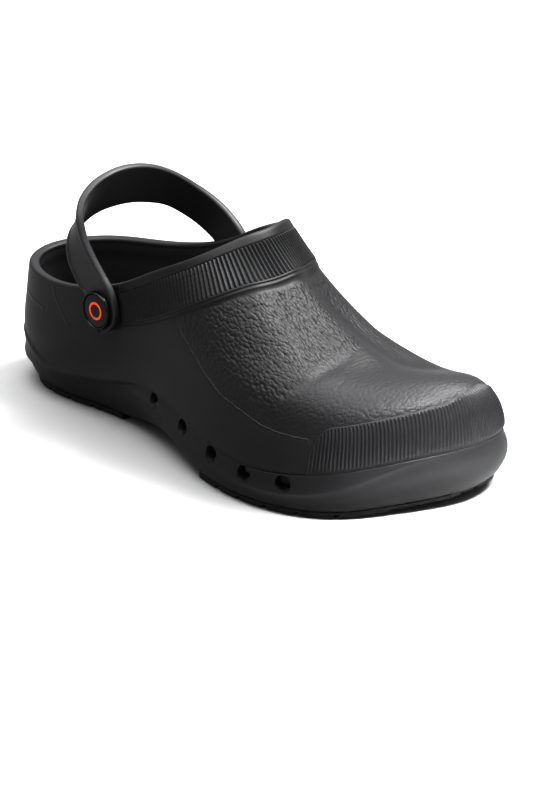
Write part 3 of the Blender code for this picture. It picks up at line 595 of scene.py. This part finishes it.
RIB_LEVEL = 0.7            # share of it below the band's face
RIB_ROOT = 0.35            # the ribs' ends dip below the band's face
RIB_ROUND = 1.2            # in a round of this radius
RIB_BACK = 0.3             # their back lies this deep in the wall
HEEL_SKIRT = 3.2           # behind the waist the foam runs on down over the sole's edge by this much
SKIRT_START = (0.305, 0.345)
SKIRT_OVER = 0.10
FOOT_FLARE = 1.9           # and stands out over it by this much, in a hollow sweep
FLARE_START = (0.292, 0.345)
FLARE_EASE = 0.45          # with less of it round the heel back
FLARE_HEIGHT = 4.5
# Lip of the heel counter: share from the toe, height
COUNTER_LIP = ((0.395, 15.7), (0.414, 17.0), (0.431, 19.8), (0.440, 21.5), (0.446, 23.0), (0.460, 25.5),
               (0.5, 27.0))
COUNTER_STEP = 0.9
COUNTER_HEIGHT = 9.0
# Raised lines behind the pivot, as rows and shares: one down from the rim, one slanting round the heel back
HEEL_LINES = (((3.0, 0.418), (2.6, 0.412), (2.08, 0.399), (1.85, 0.393)),
              ((2.40, 0.462), (2.27, 0.445), (2.2, 0.425)))
HEEL_LINE_SOFT = 0.55      # they are as much softer than the panel's line
FAR = 99.0                 # mark for points away from any line
MARKS = {"edge": FAR, "grain": 0.0, "toe_box": 0.0, "inner": 0.0}   # marks and their values off the wall
TOE_BOX = (203.0, 215.0)   # the grain turns finer between these distances from the heel
INNER_FADE = (8.0, 30.0)   # and fainter between these distances across


def cap_edge(t):
    """Row of the wall where the toe cap ends: its top line, with a rounded corner at both ends."""
    u = from_toe(t)
    share, top = np.array(CAP_TOP).T
    close = np.maximum(u - CAP_ENDS[0], CAP_ENDS[1] - u) / CAP_CORNER + 1
    return np.interp(u, share, top) * np.sqrt(np.clip(1 - np.clip(close, 0, 1) ** 3, 0, 1))


def in_band(t):
    """1 along the collar band, 0 behind its ends."""
    u = from_toe(t)
    return smooth(0, BAND_FADE, BAND_ENDS[0] - u) * smooth(0, BAND_FADE, u - BAND_ENDS[1])


def panel_distance(t, v, points):
    """Signed distance from the grain panel's edge line, plus inside the panel."""
    row, edge = np.array(PANEL_EDGE).T
    near = np.minimum(away_from(points, edge[1:-1], row[1:-1]), away_from(points, -edge[1:-1], row[1:-1]))
    return near * np.sign(np.interp(v, row, edge) - np.abs(from_toe(t)))


def heel_lines(t, v, points):
    """Distance from the nearer raised line of the heel, minus on its lower or front side."""
    u = np.abs(from_toe(t)) + np.zeros_like(v)
    (down, place), (row, slant) = (np.array(line).T for line in HEEL_LINES)
    ahead = (u < np.interp(v, down[::-1], place[::-1])) & (v > down[-1])
    below = (v < np.interp(u, slant[::-1], row[::-1])) & (u > slant[-1]) & (u < slant[0])
    far = []
    for shares, rows, minus in ((place, down, ahead), (slant, row, below)):
        gap = np.minimum(away_from(points, shares, rows), away_from(points, -shares, rows))
        far.append(np.where(minus, -gap, gap))
    return np.where(np.abs(far[0]) < np.abs(far[1]), far[0], far[1])


def heel_counter(t, height):
    """The counter round the heel stands out under its lip and fades away downwards, by an exponential."""
    u = np.abs(from_toe(t))
    below = np.interp(u, *np.array(COUNTER_LIP).T) - height
    stands = smooth(-0.5, 0.9, below) * np.exp(-np.clip(below, 0, None) / COUNTER_HEIGHT)
    return COUNTER_STEP * stands * smooth(0.395, 0.415, u)


def foot_flare(t, above):
    """The wall sweeps out to its foot behind the vents, by an exponential of the height above the joint."""
    u = np.abs(from_toe(t))
    fade = smooth(*FLARE_START, u) * (1 - FLARE_EASE * smooth(0.42, 0.48, u))
    return FOOT_FLARE * fade * np.exp(-np.clip(above, 0, None) / FLARE_HEIGHT)


def rounded(inset, radius):
    """Quarter-round rise from 0 at an edge to 1 at a radius inside it."""
    return np.sqrt(np.clip(1 - (1 - np.clip(inset / radius, 0, 1)) ** 2, 0, 1))


def shell_relief(t, v, points, panel):
    """Height of the shell's own relief, the sum of its forms.

    The band stands out in two small steps, with a seat for the ribs; the grain panel is sunk; the flex
    crease is a bell-shaped valley with two fainter ones behind it; the bottom edge is eased; the heel
    counter and the flared foot stand out.
    """
    u = from_toe(t)
    band = in_band(t) * sum(part * smooth(start, stop, v) for part, start, stop in BAND_STEPS) * BAND_STEP
    seat = smooth(*RIB_SEAT_ENDS, BAND_ENDS[0] - u) * smooth(*RIB_SEAT_ENDS, u - BAND_ENDS[1])
    seat = seat * smooth(*RIB_SEAT[:2], v) * smooth(*RIB_SEAT[:1:-1], v)
    band = band - BAND_STEP * seat
    share, row = np.array(CREASE).T
    ends = smooth(-0.03, 0.03, u) * smooth(0.155, 0.11, u)
    crease = 0
    for behind, part in CREASE_FOLDS:
        valley = np.exp(-(away_from(points, share, row + behind) / CREASE_WIDTH) ** 2)
        crease = crease + part * valley * ends
    eased = 0.35 * (1 - smooth(0.0, 0.05, v)) * (1 - smooth(0.20, 0.25, np.abs(u)))
    sunk = PANEL_SINK * smooth(-0.8, 0.8, panel) * smooth(2.0, 1.97, v)
    flare = foot_flare(t, points[..., 2] - around("joint", t))
    return band - sunk - CREASE_DEPTH * crease - eased + heel_counter(t, points[..., 2]) + flare


front = np.linspace(-0.34, 0.34, 331)
back = np.linspace(0.34, 0.66, 107)[1:-1]
t = np.concatenate([front, back])
v = np.concatenate([(0, 0.012, 0.025, 0.05), np.linspace(0.09, 1.1, 28), np.linspace(1.13, 1.9, 33),
                    np.linspace(1.93, 2.12, 16), np.linspace(2.14, 2.2, 4), np.linspace(2.3, 2.8, 5),
                    np.linspace(2.83, 2.9, 4), (2.93, 2.97, 3.0)])
v = np.repeat(v[:, None], len(t), 1)
skin, normal = skin_and_normal(t, v)
panel = panel_distance(t, v, skin)
outer = skin + normal * shell_relief(t, v, skin, panel)[..., None]
outer[0, :, 2] = skin[0, :, 2]
# Behind the waist the wall runs on over the top of the sole's side
run_down = HEEL_SKIRT * smooth(*SKIRT_START, np.abs(from_toe(t)))
part = np.array((1.0, 0.95, 0.8, 0.55, 0.25))[:, None]
depth = part * run_down
drop = around("ridge_drop", t)
tall = around("joint", t) - drop - under(ring_rows(t, around("base_out", t), 0.0)[:, 0])
down_side = np.clip((depth - drop) / tall, 0, 1)
out_by = np.where(depth < drop, channel_cove(t, depth / drop), side_bow(t, down_side))
level = around("joint", t) - depth
lip = heel_counter(t, level) + foot_flare(t, 0) * np.sqrt(1 - part ** 2)
skirt = ring_rows(t, out_by + SKIRT_OVER + lip, level)
up = unit(skin[-1] - skin[-2])
# The rim's section is a squared-off half round
turn_over = np.radians(np.linspace(6, 174, 15))[:, None, None]
squared = [np.sign(wave(turn_over)) * np.abs(wave(turn_over)) ** 0.6 for wave in (np.cos, np.sin)]
half_rim = RIM_WALL / 2
rim = outer[-1] - normal[-1] * half_rim + (normal[-1] * squared[0] + up * squared[1]) * half_rim
v_in = np.concatenate([np.linspace(3.0, 2.2, 6), np.linspace(2.0, 0.0, 9)])
v_in = np.repeat(v_in[:, None], len(t), 1)
skin_in, normal_in = skin_and_normal(t, v_in)
to_rim = smooth(2.4, 2.9, v_in)
thick = WALL + (RIM_WALL - BAND_STEP - WALL) * to_rim + (1 - in_band(t)) * BAND_STEP * to_rim
inner = skin_in - normal_in * thick[..., None]
inner[-1, :, 2] = skin_in[-1, :, 2]
shell = np.concatenate([skirt, outer, rim, inner])
on_wall = slice(len(skirt), len(skirt) + len(v))
marks = {name: np.full(shell.shape[:2], off) for name, off in MARKS.items()}
heel = heel_lines(t, v, skin)
marks["edge"][on_wall] = np.where(np.abs(heel) < 12, HEEL_LINE_SOFT * heel, np.where(v < 1.95, panel, FAR))
# The inner mark picks the inside faces, where the finish paints a paler colour as painted light
marks["inner"][-len(v_in):] = 1
marks["grain"][on_wall] = 0.45 * smooth(0.2, 1.5, panel) + 0.55 * smooth(2, 14, panel)
marks["grain"][on_wall] *= smooth(1.985, 1.95, v) * (1 - 0.5 * smooth(*INNER_FADE, skin[..., 1]))
marks["toe_box"][on_wall] = smooth(*TOE_BOX, skin[..., 0])

# Ribbed toe cap, a closed skin over the wall: it rises out of the wall round its edge, and its ribs are
# rounded waves square to the joint line that die away towards the sole
t_cap = np.linspace(CAP_ENDS[1], CAP_ENDS[0], 780)
b = np.concatenate([(0, 0.02, 0.05, 0.1), np.linspace(0.16, 0.84, 11), np.linspace(0.87, 1.0, 9)])[:, None]
edge = cap_edge(t_cap)
skin, normal = skin_and_normal(t_cap, b * edge)
reach = np.linalg.norm(skin - skin[-1], axis=-1)
end = np.minimum(t_cap - CAP_ENDS[1], CAP_ENDS[0] - t_cap) * AROUND
inset = np.minimum(reach, end)
rise = CAP_LIP * rounded(inset, CAP_LIP_ROUND) + (CAP_STEP - CAP_LIP) * smooth(0, CAP_SWELL, inset)
rise = rise * (0.2 + 0.8 * smooth(0, 0.1, b))
wave = np.cos(np.pi * from_toe(t_cap) * AROUND / CAP_RIB_PITCH) ** 2 - 0.5
ribs = CAP_RIB * wave * smooth(0.7, 1.7, reach) * smooth(0.06, 0.22, b) * smooth(0.6, 2.0, end)
cap_front = skin + normal * (rise + ribs)[..., None]
cap_front[0, :, 2] = skin[0, :, 2]
cap_back = (skin - normal * CAP_BACK)[::-1][[0, 12, -1]]
cap = np.concatenate([cap_front, cap_back])

# Ribbed collar band, made the same way: rounded waves square to the rim. Its two ends are open, inside
# the wall
t_band = np.linspace(BAND_ENDS[1] + BAND_FADE, BAND_ENDS[0] - BAND_FADE, 920)
b = np.concatenate([np.linspace(*span, 6) for span in ((0, 0.08), (0.14, 0.86), (0.92, 1.0))])[:, None]
v_band = BAND_RIBS[0] + (BAND_RIBS[1] - BAND_RIBS[0]) * b * np.ones_like(t_band)
skin, normal = skin_and_normal(t_band, v_band)
middle = skin[len(b) // 2]
run = unit(np.gradient(middle, axis=0))
stride = np.concatenate([[0], np.cumsum(np.linalg.norm(np.diff(middle, axis=0), axis=1))])
phase = stride + ((skin - middle) * run).sum(-1)
end = np.minimum(stride, stride[-1] - stride)
reach = np.minimum(np.linalg.norm(skin - skin[0], axis=-1), np.linalg.norm(skin - skin[-1], axis=-1))
wave = np.cos(np.pi * phase / BAND_RIB_PITCH) ** 2
swell = rounded(reach, RIB_ROUND) * smooth(0, 1.5, end)
ribs = BAND_STEP - RIB_ROOT + (RIB_ROOT + BAND_RIB * (wave - RIB_LEVEL)) * swell
band_front = skin + normal * ribs[..., None]
band_back = (skin - normal * RIB_BACK)[::-1][[0, 9, -1]]
band = np.concatenate([band_front, band_back])

# Finish of the upper: foam with a leather grain of domed cells, and raised lines round the grain panel and
# on the heel
LINE_RISE = 0.36
LINE_ROUND = (0.1, 0.6)    # the line's crest and foot, from its middle
# Cells of the grain: length, width and depth, the slope their length runs down, their rise
PEBBLES = (("instep", (2.3, 1.4, 1.6), 30.0, 0.42), ("toe", (1.3, 2.3, 1.5), 8.0, 0.17))
PEBBLE_SWAY = 2.2          # cells are bent out of line by up to this much
upper_foam = moulded_foam("charcoal_foam", (0.0090, 0.0090, 0.0097), 0.48)
nodes = upper_foam.node_tree.nodes
read = {name: add_node(upper_foam, "Attribute", {}, attribute_name=name).outputs["Fac"] for name in MARKS}
place = add_node(upper_foam, "TexCoord", {}).outputs["Object"]
wander = add_node(upper_foam, "TexNoise", {"Vector": place, "Scale": 190.0})
sway = add_node(upper_foam, "VectorMath",
                {0: wander.outputs["Color"], 1: [PEBBLE_SWAY * MM] * 3, 2: place}, operation="MULTIPLY_ADD")
pebbles = []
for label, cell, slope, dome in PEBBLES:
    turn = add_node(upper_foam, "Mapping",
                    {"Vector": sway.outputs["Vector"], "Rotation": (0.0, np.radians(slope), 0.0),
                     "Scale": [size * MM for size in cell]}, vector_type="TEXTURE")
    cells = add_node(upper_foam, "TexVoronoi",
                     {"Vector": turn.outputs["Vector"], "Smoothness": 0.12, "Scale": 1.0},
                     name=label, feature="SMOOTH_F1")
    square = add_node(upper_foam, "Math", {0: cells.outputs["Distance"], 1: 2.0}, operation="POWER")
    crown = add_node(upper_foam, "MapRange",
                     {"Value": square.outputs["Value"], "From Max": 0.9, "To Min": dome, "To Max": 0.0},
                     clamp=False)
    pebbles.append(crown.outputs["Result"])
blend = add_node(upper_foam, "Mix", {"Factor": read["toe_box"], "A": pebbles[0], "B": pebbles[1]})
masked = add_node(upper_foam, "Math", {0: blend.outputs["Result"], 1: read["grain"]}, operation="MULTIPLY")
to_line = add_node(upper_foam, "Math", {0: read["edge"]}, operation="ABSOLUTE")
bead = add_node(upper_foam, "MapRange",
                {"Value": to_line.outputs["Value"], "From Min": LINE_ROUND[0], "From Max": LINE_ROUND[1],
                 "To Min": LINE_RISE, "To Max": 0.0}, interpolation_type="SMOOTHSTEP")
raised = add_node(upper_foam, "Math", {0: masked.outputs["Value"], 1: bead.outputs["Result"]},
                  operation="ADD")
leather = add_node(upper_foam, "Bump", {"Height": raised.outputs["Value"], "Distance": MM,
                                        "Normal": nodes["skin"].outputs["Normal"]})
# Inside, the foam's colour is painted paler: painted light standing in for the light on the shoe's inner
# walls
painted_inside_light = add_node(upper_foam, "Mix", {"Factor": read["inner"], "A": nodes["Color Ramp"].outputs["Color"],
                                      "B": (0.032, 0.032, 0.034, 1)}, data_type="RGBA")
feed(upper_foam, nodes["Principled BSDF"],
     {"Normal": leather.outputs["Normal"], "Base Color": painted_inside_light.outputs["Result"]})

bare = cap[..., 0].size + band[..., 0].size
marks = {name: np.append(marks[name], np.full(bare, off)) for name, off in MARKS.items()}
upper = foam_piece("upper_shell", [(shell, True, True), (cap, True, False), (band, True, False)],
                   upper_foam, marks)
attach(upper, "root")
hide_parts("upper")

# Heel strap: one foam moulding, a flat hoop with raised edges and a round lobe at each end, hung on the
# rivets. It swings on them by hand and stays where friction leaves it; here it stands up over the collar.
PIVOTS = ((-1, 84.2), (1, 89.2))   # outer and inner side, distance from the heel back
PIVOT_Z = 56.5
LOBE_RADIUS = 11.0
LOBE_FACE = 38.5
STRAP_THICK = 3.7
LOBE_MIDDLE = LOBE_FACE + STRAP_THICK / 2
HOLE_RADIUS = 4.0
EDGE_BEAD = 1.9       # raised edge along both sides of the outer face
BEAD_RISE = 0.55
BEAD_SLOPE = 0.8      # width of the slope down from it
EDGE_ROUND = 1.0
HOOP_STEPS = 10
# Sections of the hoop from the outer lobe over the crown to the inner lobe: front edge, then back edge
HOOP = (
    # along, across, up,  along, across, up
    (94.6, -40.35,  61.5, 73.6, -40.35, 61.2),
    (91.4, -40.35,  67.8, 69.4, -40.35, 64.6),
    (86.6, -40.90,  73.8, 65.8, -40.60, 69.4),
    (81.0, -41.80,  81.4, 62.9, -41.00, 75.5),
    (76.0, -42.40,  89.4, 61.0, -39.80, 81.6),
    (71.8, -41.40,  97.6, 59.6, -36.00, 86.6),
    (68.0, -37.20, 103.8, 58.9, -29.20, 90.6),
    (65.4, -29.00, 109.2, 58.4, -20.20, 93.0),
    (64.5, -16.00, 113.0, 58.3, -10.20, 93.6),
    (64.5,  -3.00, 113.2, 58.3,   0.60, 92.8),
    (65.5,  10.20, 110.2, 58.4,  10.80, 90.6),
    (67.4,  22.20, 104.2, 59.2,  20.80, 87.4),
    (71.0,  31.20,  97.2, 61.0,  29.80, 82.0),
    (76.4,  36.90,  91.2, 65.4,  36.80, 75.8),
    (83.9,  39.90,  84.9, 69.8,  39.60, 71.6),
    (92.8,  40.35,  77.6, 74.4,  40.35, 68.2),
    (99.0,  40.35,  67.0, 77.8,  40.35, 62.4),
)


def strap_edges():
    """Front and back edge of the strap: a half circle round each lobe, and between them the smooth path
    through the hoop's sections."""
    angle = np.radians(np.linspace(90, 0, 30))
    reach, level = LOBE_RADIUS * np.cos(angle), PIVOT_Z - LOBE_RADIUS * np.sin(angle)
    lobes = []
    for side, x in PIVOTS:
        across = np.full(len(angle), side * LOBE_MIDDLE)
        lobes.append(np.stack([np.stack([x + way * reach, across, level], -1) for way in (1, -1)], 1))
    hoop = np.concatenate([lobes[0][-1:], np.array(HOOP).reshape(-1, 2, 3), lobes[1][-1:]])
    path = eased_line(hoop, np.linspace(0, 1, HOOP_STEPS, endpoint=False))
    edges = np.concatenate([lobes[0][:-1], path, lobes[1][::-1]])
    return edges[:, 0], edges[:, 1]


def strap_loop():
    """The strap's section carried along its path: a flat bar with rounded edges, its outer face sunk
    between two raised edges that meet round each lobe."""
    front, back = strap_edges()
    middle = (front + back) / 2
    wide = front - back
    half = np.maximum(np.linalg.norm(wide, axis=1, keepdims=True) / 2, 1e-3)
    run = np.gradient(middle, axis=0)
    wide = np.where(half > 0.5, wide / (2 * half), (1.0, 0.0, 0.0))
    thick = unit(np.cross(wide, run))
    thick *= np.sign(thick[:, 1:2] * middle[:, 1:2])[len(middle) // 8]
    arc = np.radians(np.linspace(-80, 80, 9))
    outside, inside = np.linspace(-1, 1, 36), np.linspace(1, -1, 14)
    across = np.concatenate([outside, np.full(len(arc), 2.0), inside, np.full(len(arc), -2.0)])
    depth = np.concatenate([np.ones(len(outside)), -np.sin(arc), -np.ones(len(inside)), np.sin(arc)])
    bulge = np.concatenate([np.zeros(len(outside)), np.cos(arc), np.zeros(len(inside)), np.cos(arc)])
    flat = np.maximum(half - EDGE_ROUND, half * 0.5)
    soft = half - flat
    side = np.sign(across)
    reach = np.where(np.abs(across) <= 1, across * flat, side * (flat + soft * bulge))
    points = middle[:, None] + wide[:, None] * reach[..., None]
    points = points + thick[:, None] * (depth * STRAP_THICK / 2)[:, None]
    from_edge = half - np.abs(reach)
    sunk = -BEAD_RISE * smooth(EDGE_BEAD, EDGE_BEAD + BEAD_SLOPE, from_edge)
    sunk = sunk * (np.abs(across) <= 1) * (depth > 0)
    return points + thick[:, None] * sunk[..., None]


# The strap's colour is set paler than the upper's foam: painted sheen standing in for its highlights
strap_foam = moulded_foam("strap_foam", (0.0230, 0.0230, 0.0242), 0.42)
strap = foam_piece("swing_strap", [(strap_loop(), False, True)], strap_foam)
bore = ((0, -8), (HOLE_RADIUS, -8), (HOLE_RADIUS, 8), (0, 8))
pierced(strap, [turned("lobe_bore", bore, (x, side * LOBE_MIDDLE, PIVOT_Z), (0, 1), strap_foam, 40)
                for side, x in PIVOTS])
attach(strap, "root")
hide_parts("heel_strap")

# Rivets: two glossy plastic press rivets, a low domed head with a rolled rim outside, a shank through lobe
# and wall, and a flat flange inside. A plain ring is printed round the middle of each head.
HEAD_RADIUS = 9.2
HEAD_RISE = 2.2
DISC_EDGE = (7.7, 7.8)    # radii where the domed disc ends and the rolled rim begins
DISC_LEVEL = 0.72         # the disc's edge, as a share of the rim's rise
DISC_DOME = 0.25
ROLL = (8.5, 0.7)         # radius of the roll's middle, and half its width
ROLL_FOOT = 0.6
RIVET_GRIP = 8.8
FLANGE_RADIUS = 7.0
FLANGE_THICK = 1.2
RIVET_GAP = 0.3
PRINT_RING = (3.2, 4.3)   # inner and outer radius
PRINT_BLUR = 0.1
PRINT_COLOUR = (0.62, 0.075, 0.012)
FLANGE_EASE = 0.3

rivet_plastic = moulded_foam("rivet_plastic", (0.004, 0.004, 0.0042), 0.22, skin=0.008)
nodes = rivet_plastic.node_tree.nodes
print_mark = add_node(rivet_plastic, "Attribute", {}, attribute_name="print")
ink = add_node(rivet_plastic, "Mix", {"Factor": print_mark.outputs["Fac"], "B": (*PRINT_COLOUR, 1),
                                      "A": nodes["Color Ramp"].outputs["Color"]}, data_type="RGBA")
feed(rivet_plastic, nodes["Principled BSDF"], {"Base Color": ink.outputs["Result"]})
radius = np.concatenate([np.linspace(0, DISC_EDGE[0], 48), np.linspace(DISC_EDGE[1], HEAD_RADIUS, 16)])
dome = HEAD_RISE * DISC_LEVEL + DISC_DOME * (1 - (radius / DISC_EDGE[1]) ** 2)
roll = HEAD_RISE * np.sqrt(np.clip(1 - ((radius - ROLL[0]) / ROLL[1]) ** 2, 0, 1))
head = STRAP_THICK + RIVET_GAP
face = head + np.where(radius < DISC_EDGE[1], dome, np.maximum(roll, ROLL_FOOT))
shank = HOLE_RADIUS - RIVET_GAP
inside = -(RIVET_GRIP + 2 * RIVET_GAP)
end = inside - FLANGE_THICK
tail = ((HEAD_RADIUS, head), (shank, head), (shank, inside), (FLANGE_RADIUS - FLANGE_EASE, inside),
        (FLANGE_RADIUS, inside - FLANGE_EASE), (FLANGE_RADIUS, end + FLANGE_EASE),
        (FLANGE_RADIUS - FLANGE_EASE, end), (0.0, end))
profile = np.concatenate([np.stack([radius, face], 1), np.array(tail)])
inner_edge, outer_edge = (smooth(edge - PRINT_BLUR, edge + PRINT_BLUR, radius) for edge in PRINT_RING)
printed = {"print": np.concatenate([inner_edge * (1 - outer_edge), np.zeros(len(tail))])}
for (side, x), name, node in zip(PIVOTS, ("outer_rivet", "inner_rivet"), ("rivet_outer", "rivet_inner")):
    rivet = turned(name, profile, (x, side * LOBE_FACE, PIVOT_Z), (0, side), rivet_plastic, 72, printed)
    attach(rivet, "root")
    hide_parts(node)

# Studio: a paper floor in white surroundings. A wide soft light hangs overhead and a key light stands on
# the far side; small ones light the toe's front, the floor before it and the outer side.
FLOOR_SIZE = 12.0
half = FLOOR_SIZE / 2
corners = [(-half, -half, 0), (half, -half, 0), (half, half, 0), (-half, half, 0)]
floor_mesh = bpy.data.meshes.new("floor")
floor_mesh.from_pydata(corners, [], [(0, 1, 2, 3)])
floor = bpy.data.objects.new("floor", floor_mesh)
scene.collection.objects.link(floor)
paper = bpy.data.materials.new("studio_paper")
paper.use_nodes = True
feed(paper, paper.node_tree.nodes["Principled BSDF"],
     {"Base Color": (0.22, 0.22, 0.22, 1), "Roughness": 0.9})
floor_mesh.materials.append(paper)
floor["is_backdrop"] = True


def softbox(name, place, aim, size, power, spread=180):
    """A rectangular soft light at a place, turned to face its aim, with its spread in degrees."""
    lamp = bpy.data.lights.new(name, "AREA")
    lamp.shape = "RECTANGLE"
    lamp.size, lamp.size_y = size
    lamp.energy = power
    lamp.spread = np.radians(spread)
    light = bpy.data.objects.new(name, lamp)
    light.location = place
    light.rotation_euler = (Vector(aim) - Vector(place)).to_track_quat("-Z", "Y").to_euler()
    scene.collection.objects.link(light)


softbox("ceiling_softbox", (-0.35, 0.45, 1.70), (-0.35, 0.45, 0.0), (2.4, 2.4), 145.0)
softbox("key_softbox", (0.42, 1.00, 1.75), (0.03, 0.0, 0.05), (0.9, 0.9), 130.0)
softbox("front_softbox", (0.45, 0.02, 0.48), (0.12, 0.0, 0.04), (0.25, 0.25), 0.5)
softbox("floor_softbox", (0.36, -0.05, 0.35), (0.25, -0.01, 0.0), (0.15, 0.15), 5.2, 32)
softbox("side_softbox", (-0.11, -0.60, 1.30), (-0.02, -0.02, 0.05), (0.5, 0.5), 10.0)
world = bpy.data.worlds.new("studio")
scene.world = world
world.use_nodes = True
feed(world, world.node_tree.nodes["Background"], {"Color": (1.0, 1.0, 1.0, 1), "Strength": 1.2})
scene.view_settings.view_transform = "Standard"
scene.view_settings.gamma = 0.68

# Camera: a long lens, looking down a little on the toe and the outer side
DISTANCE = 1.5
TARGET = Vector((0.01586, 0.00075, 0.020))
TOWARDS = Vector((0.6725, -0.6382, 0.3746))
camera_data = bpy.data.cameras.new("camera")
camera_data.lens = 147.4
camera_data.sensor_width = 36.0
camera_data.clip_end = 50.0
camera = bpy.data.objects.new("camera", camera_data)
camera.location = TARGET + DISTANCE * TOWARDS
camera.rotation_euler = (-TOWARDS).to_track_quat("-Z", "Y").to_euler()
scene.collection.objects.link(camera)
bpy.context.scene.camera = camera

low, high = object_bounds()
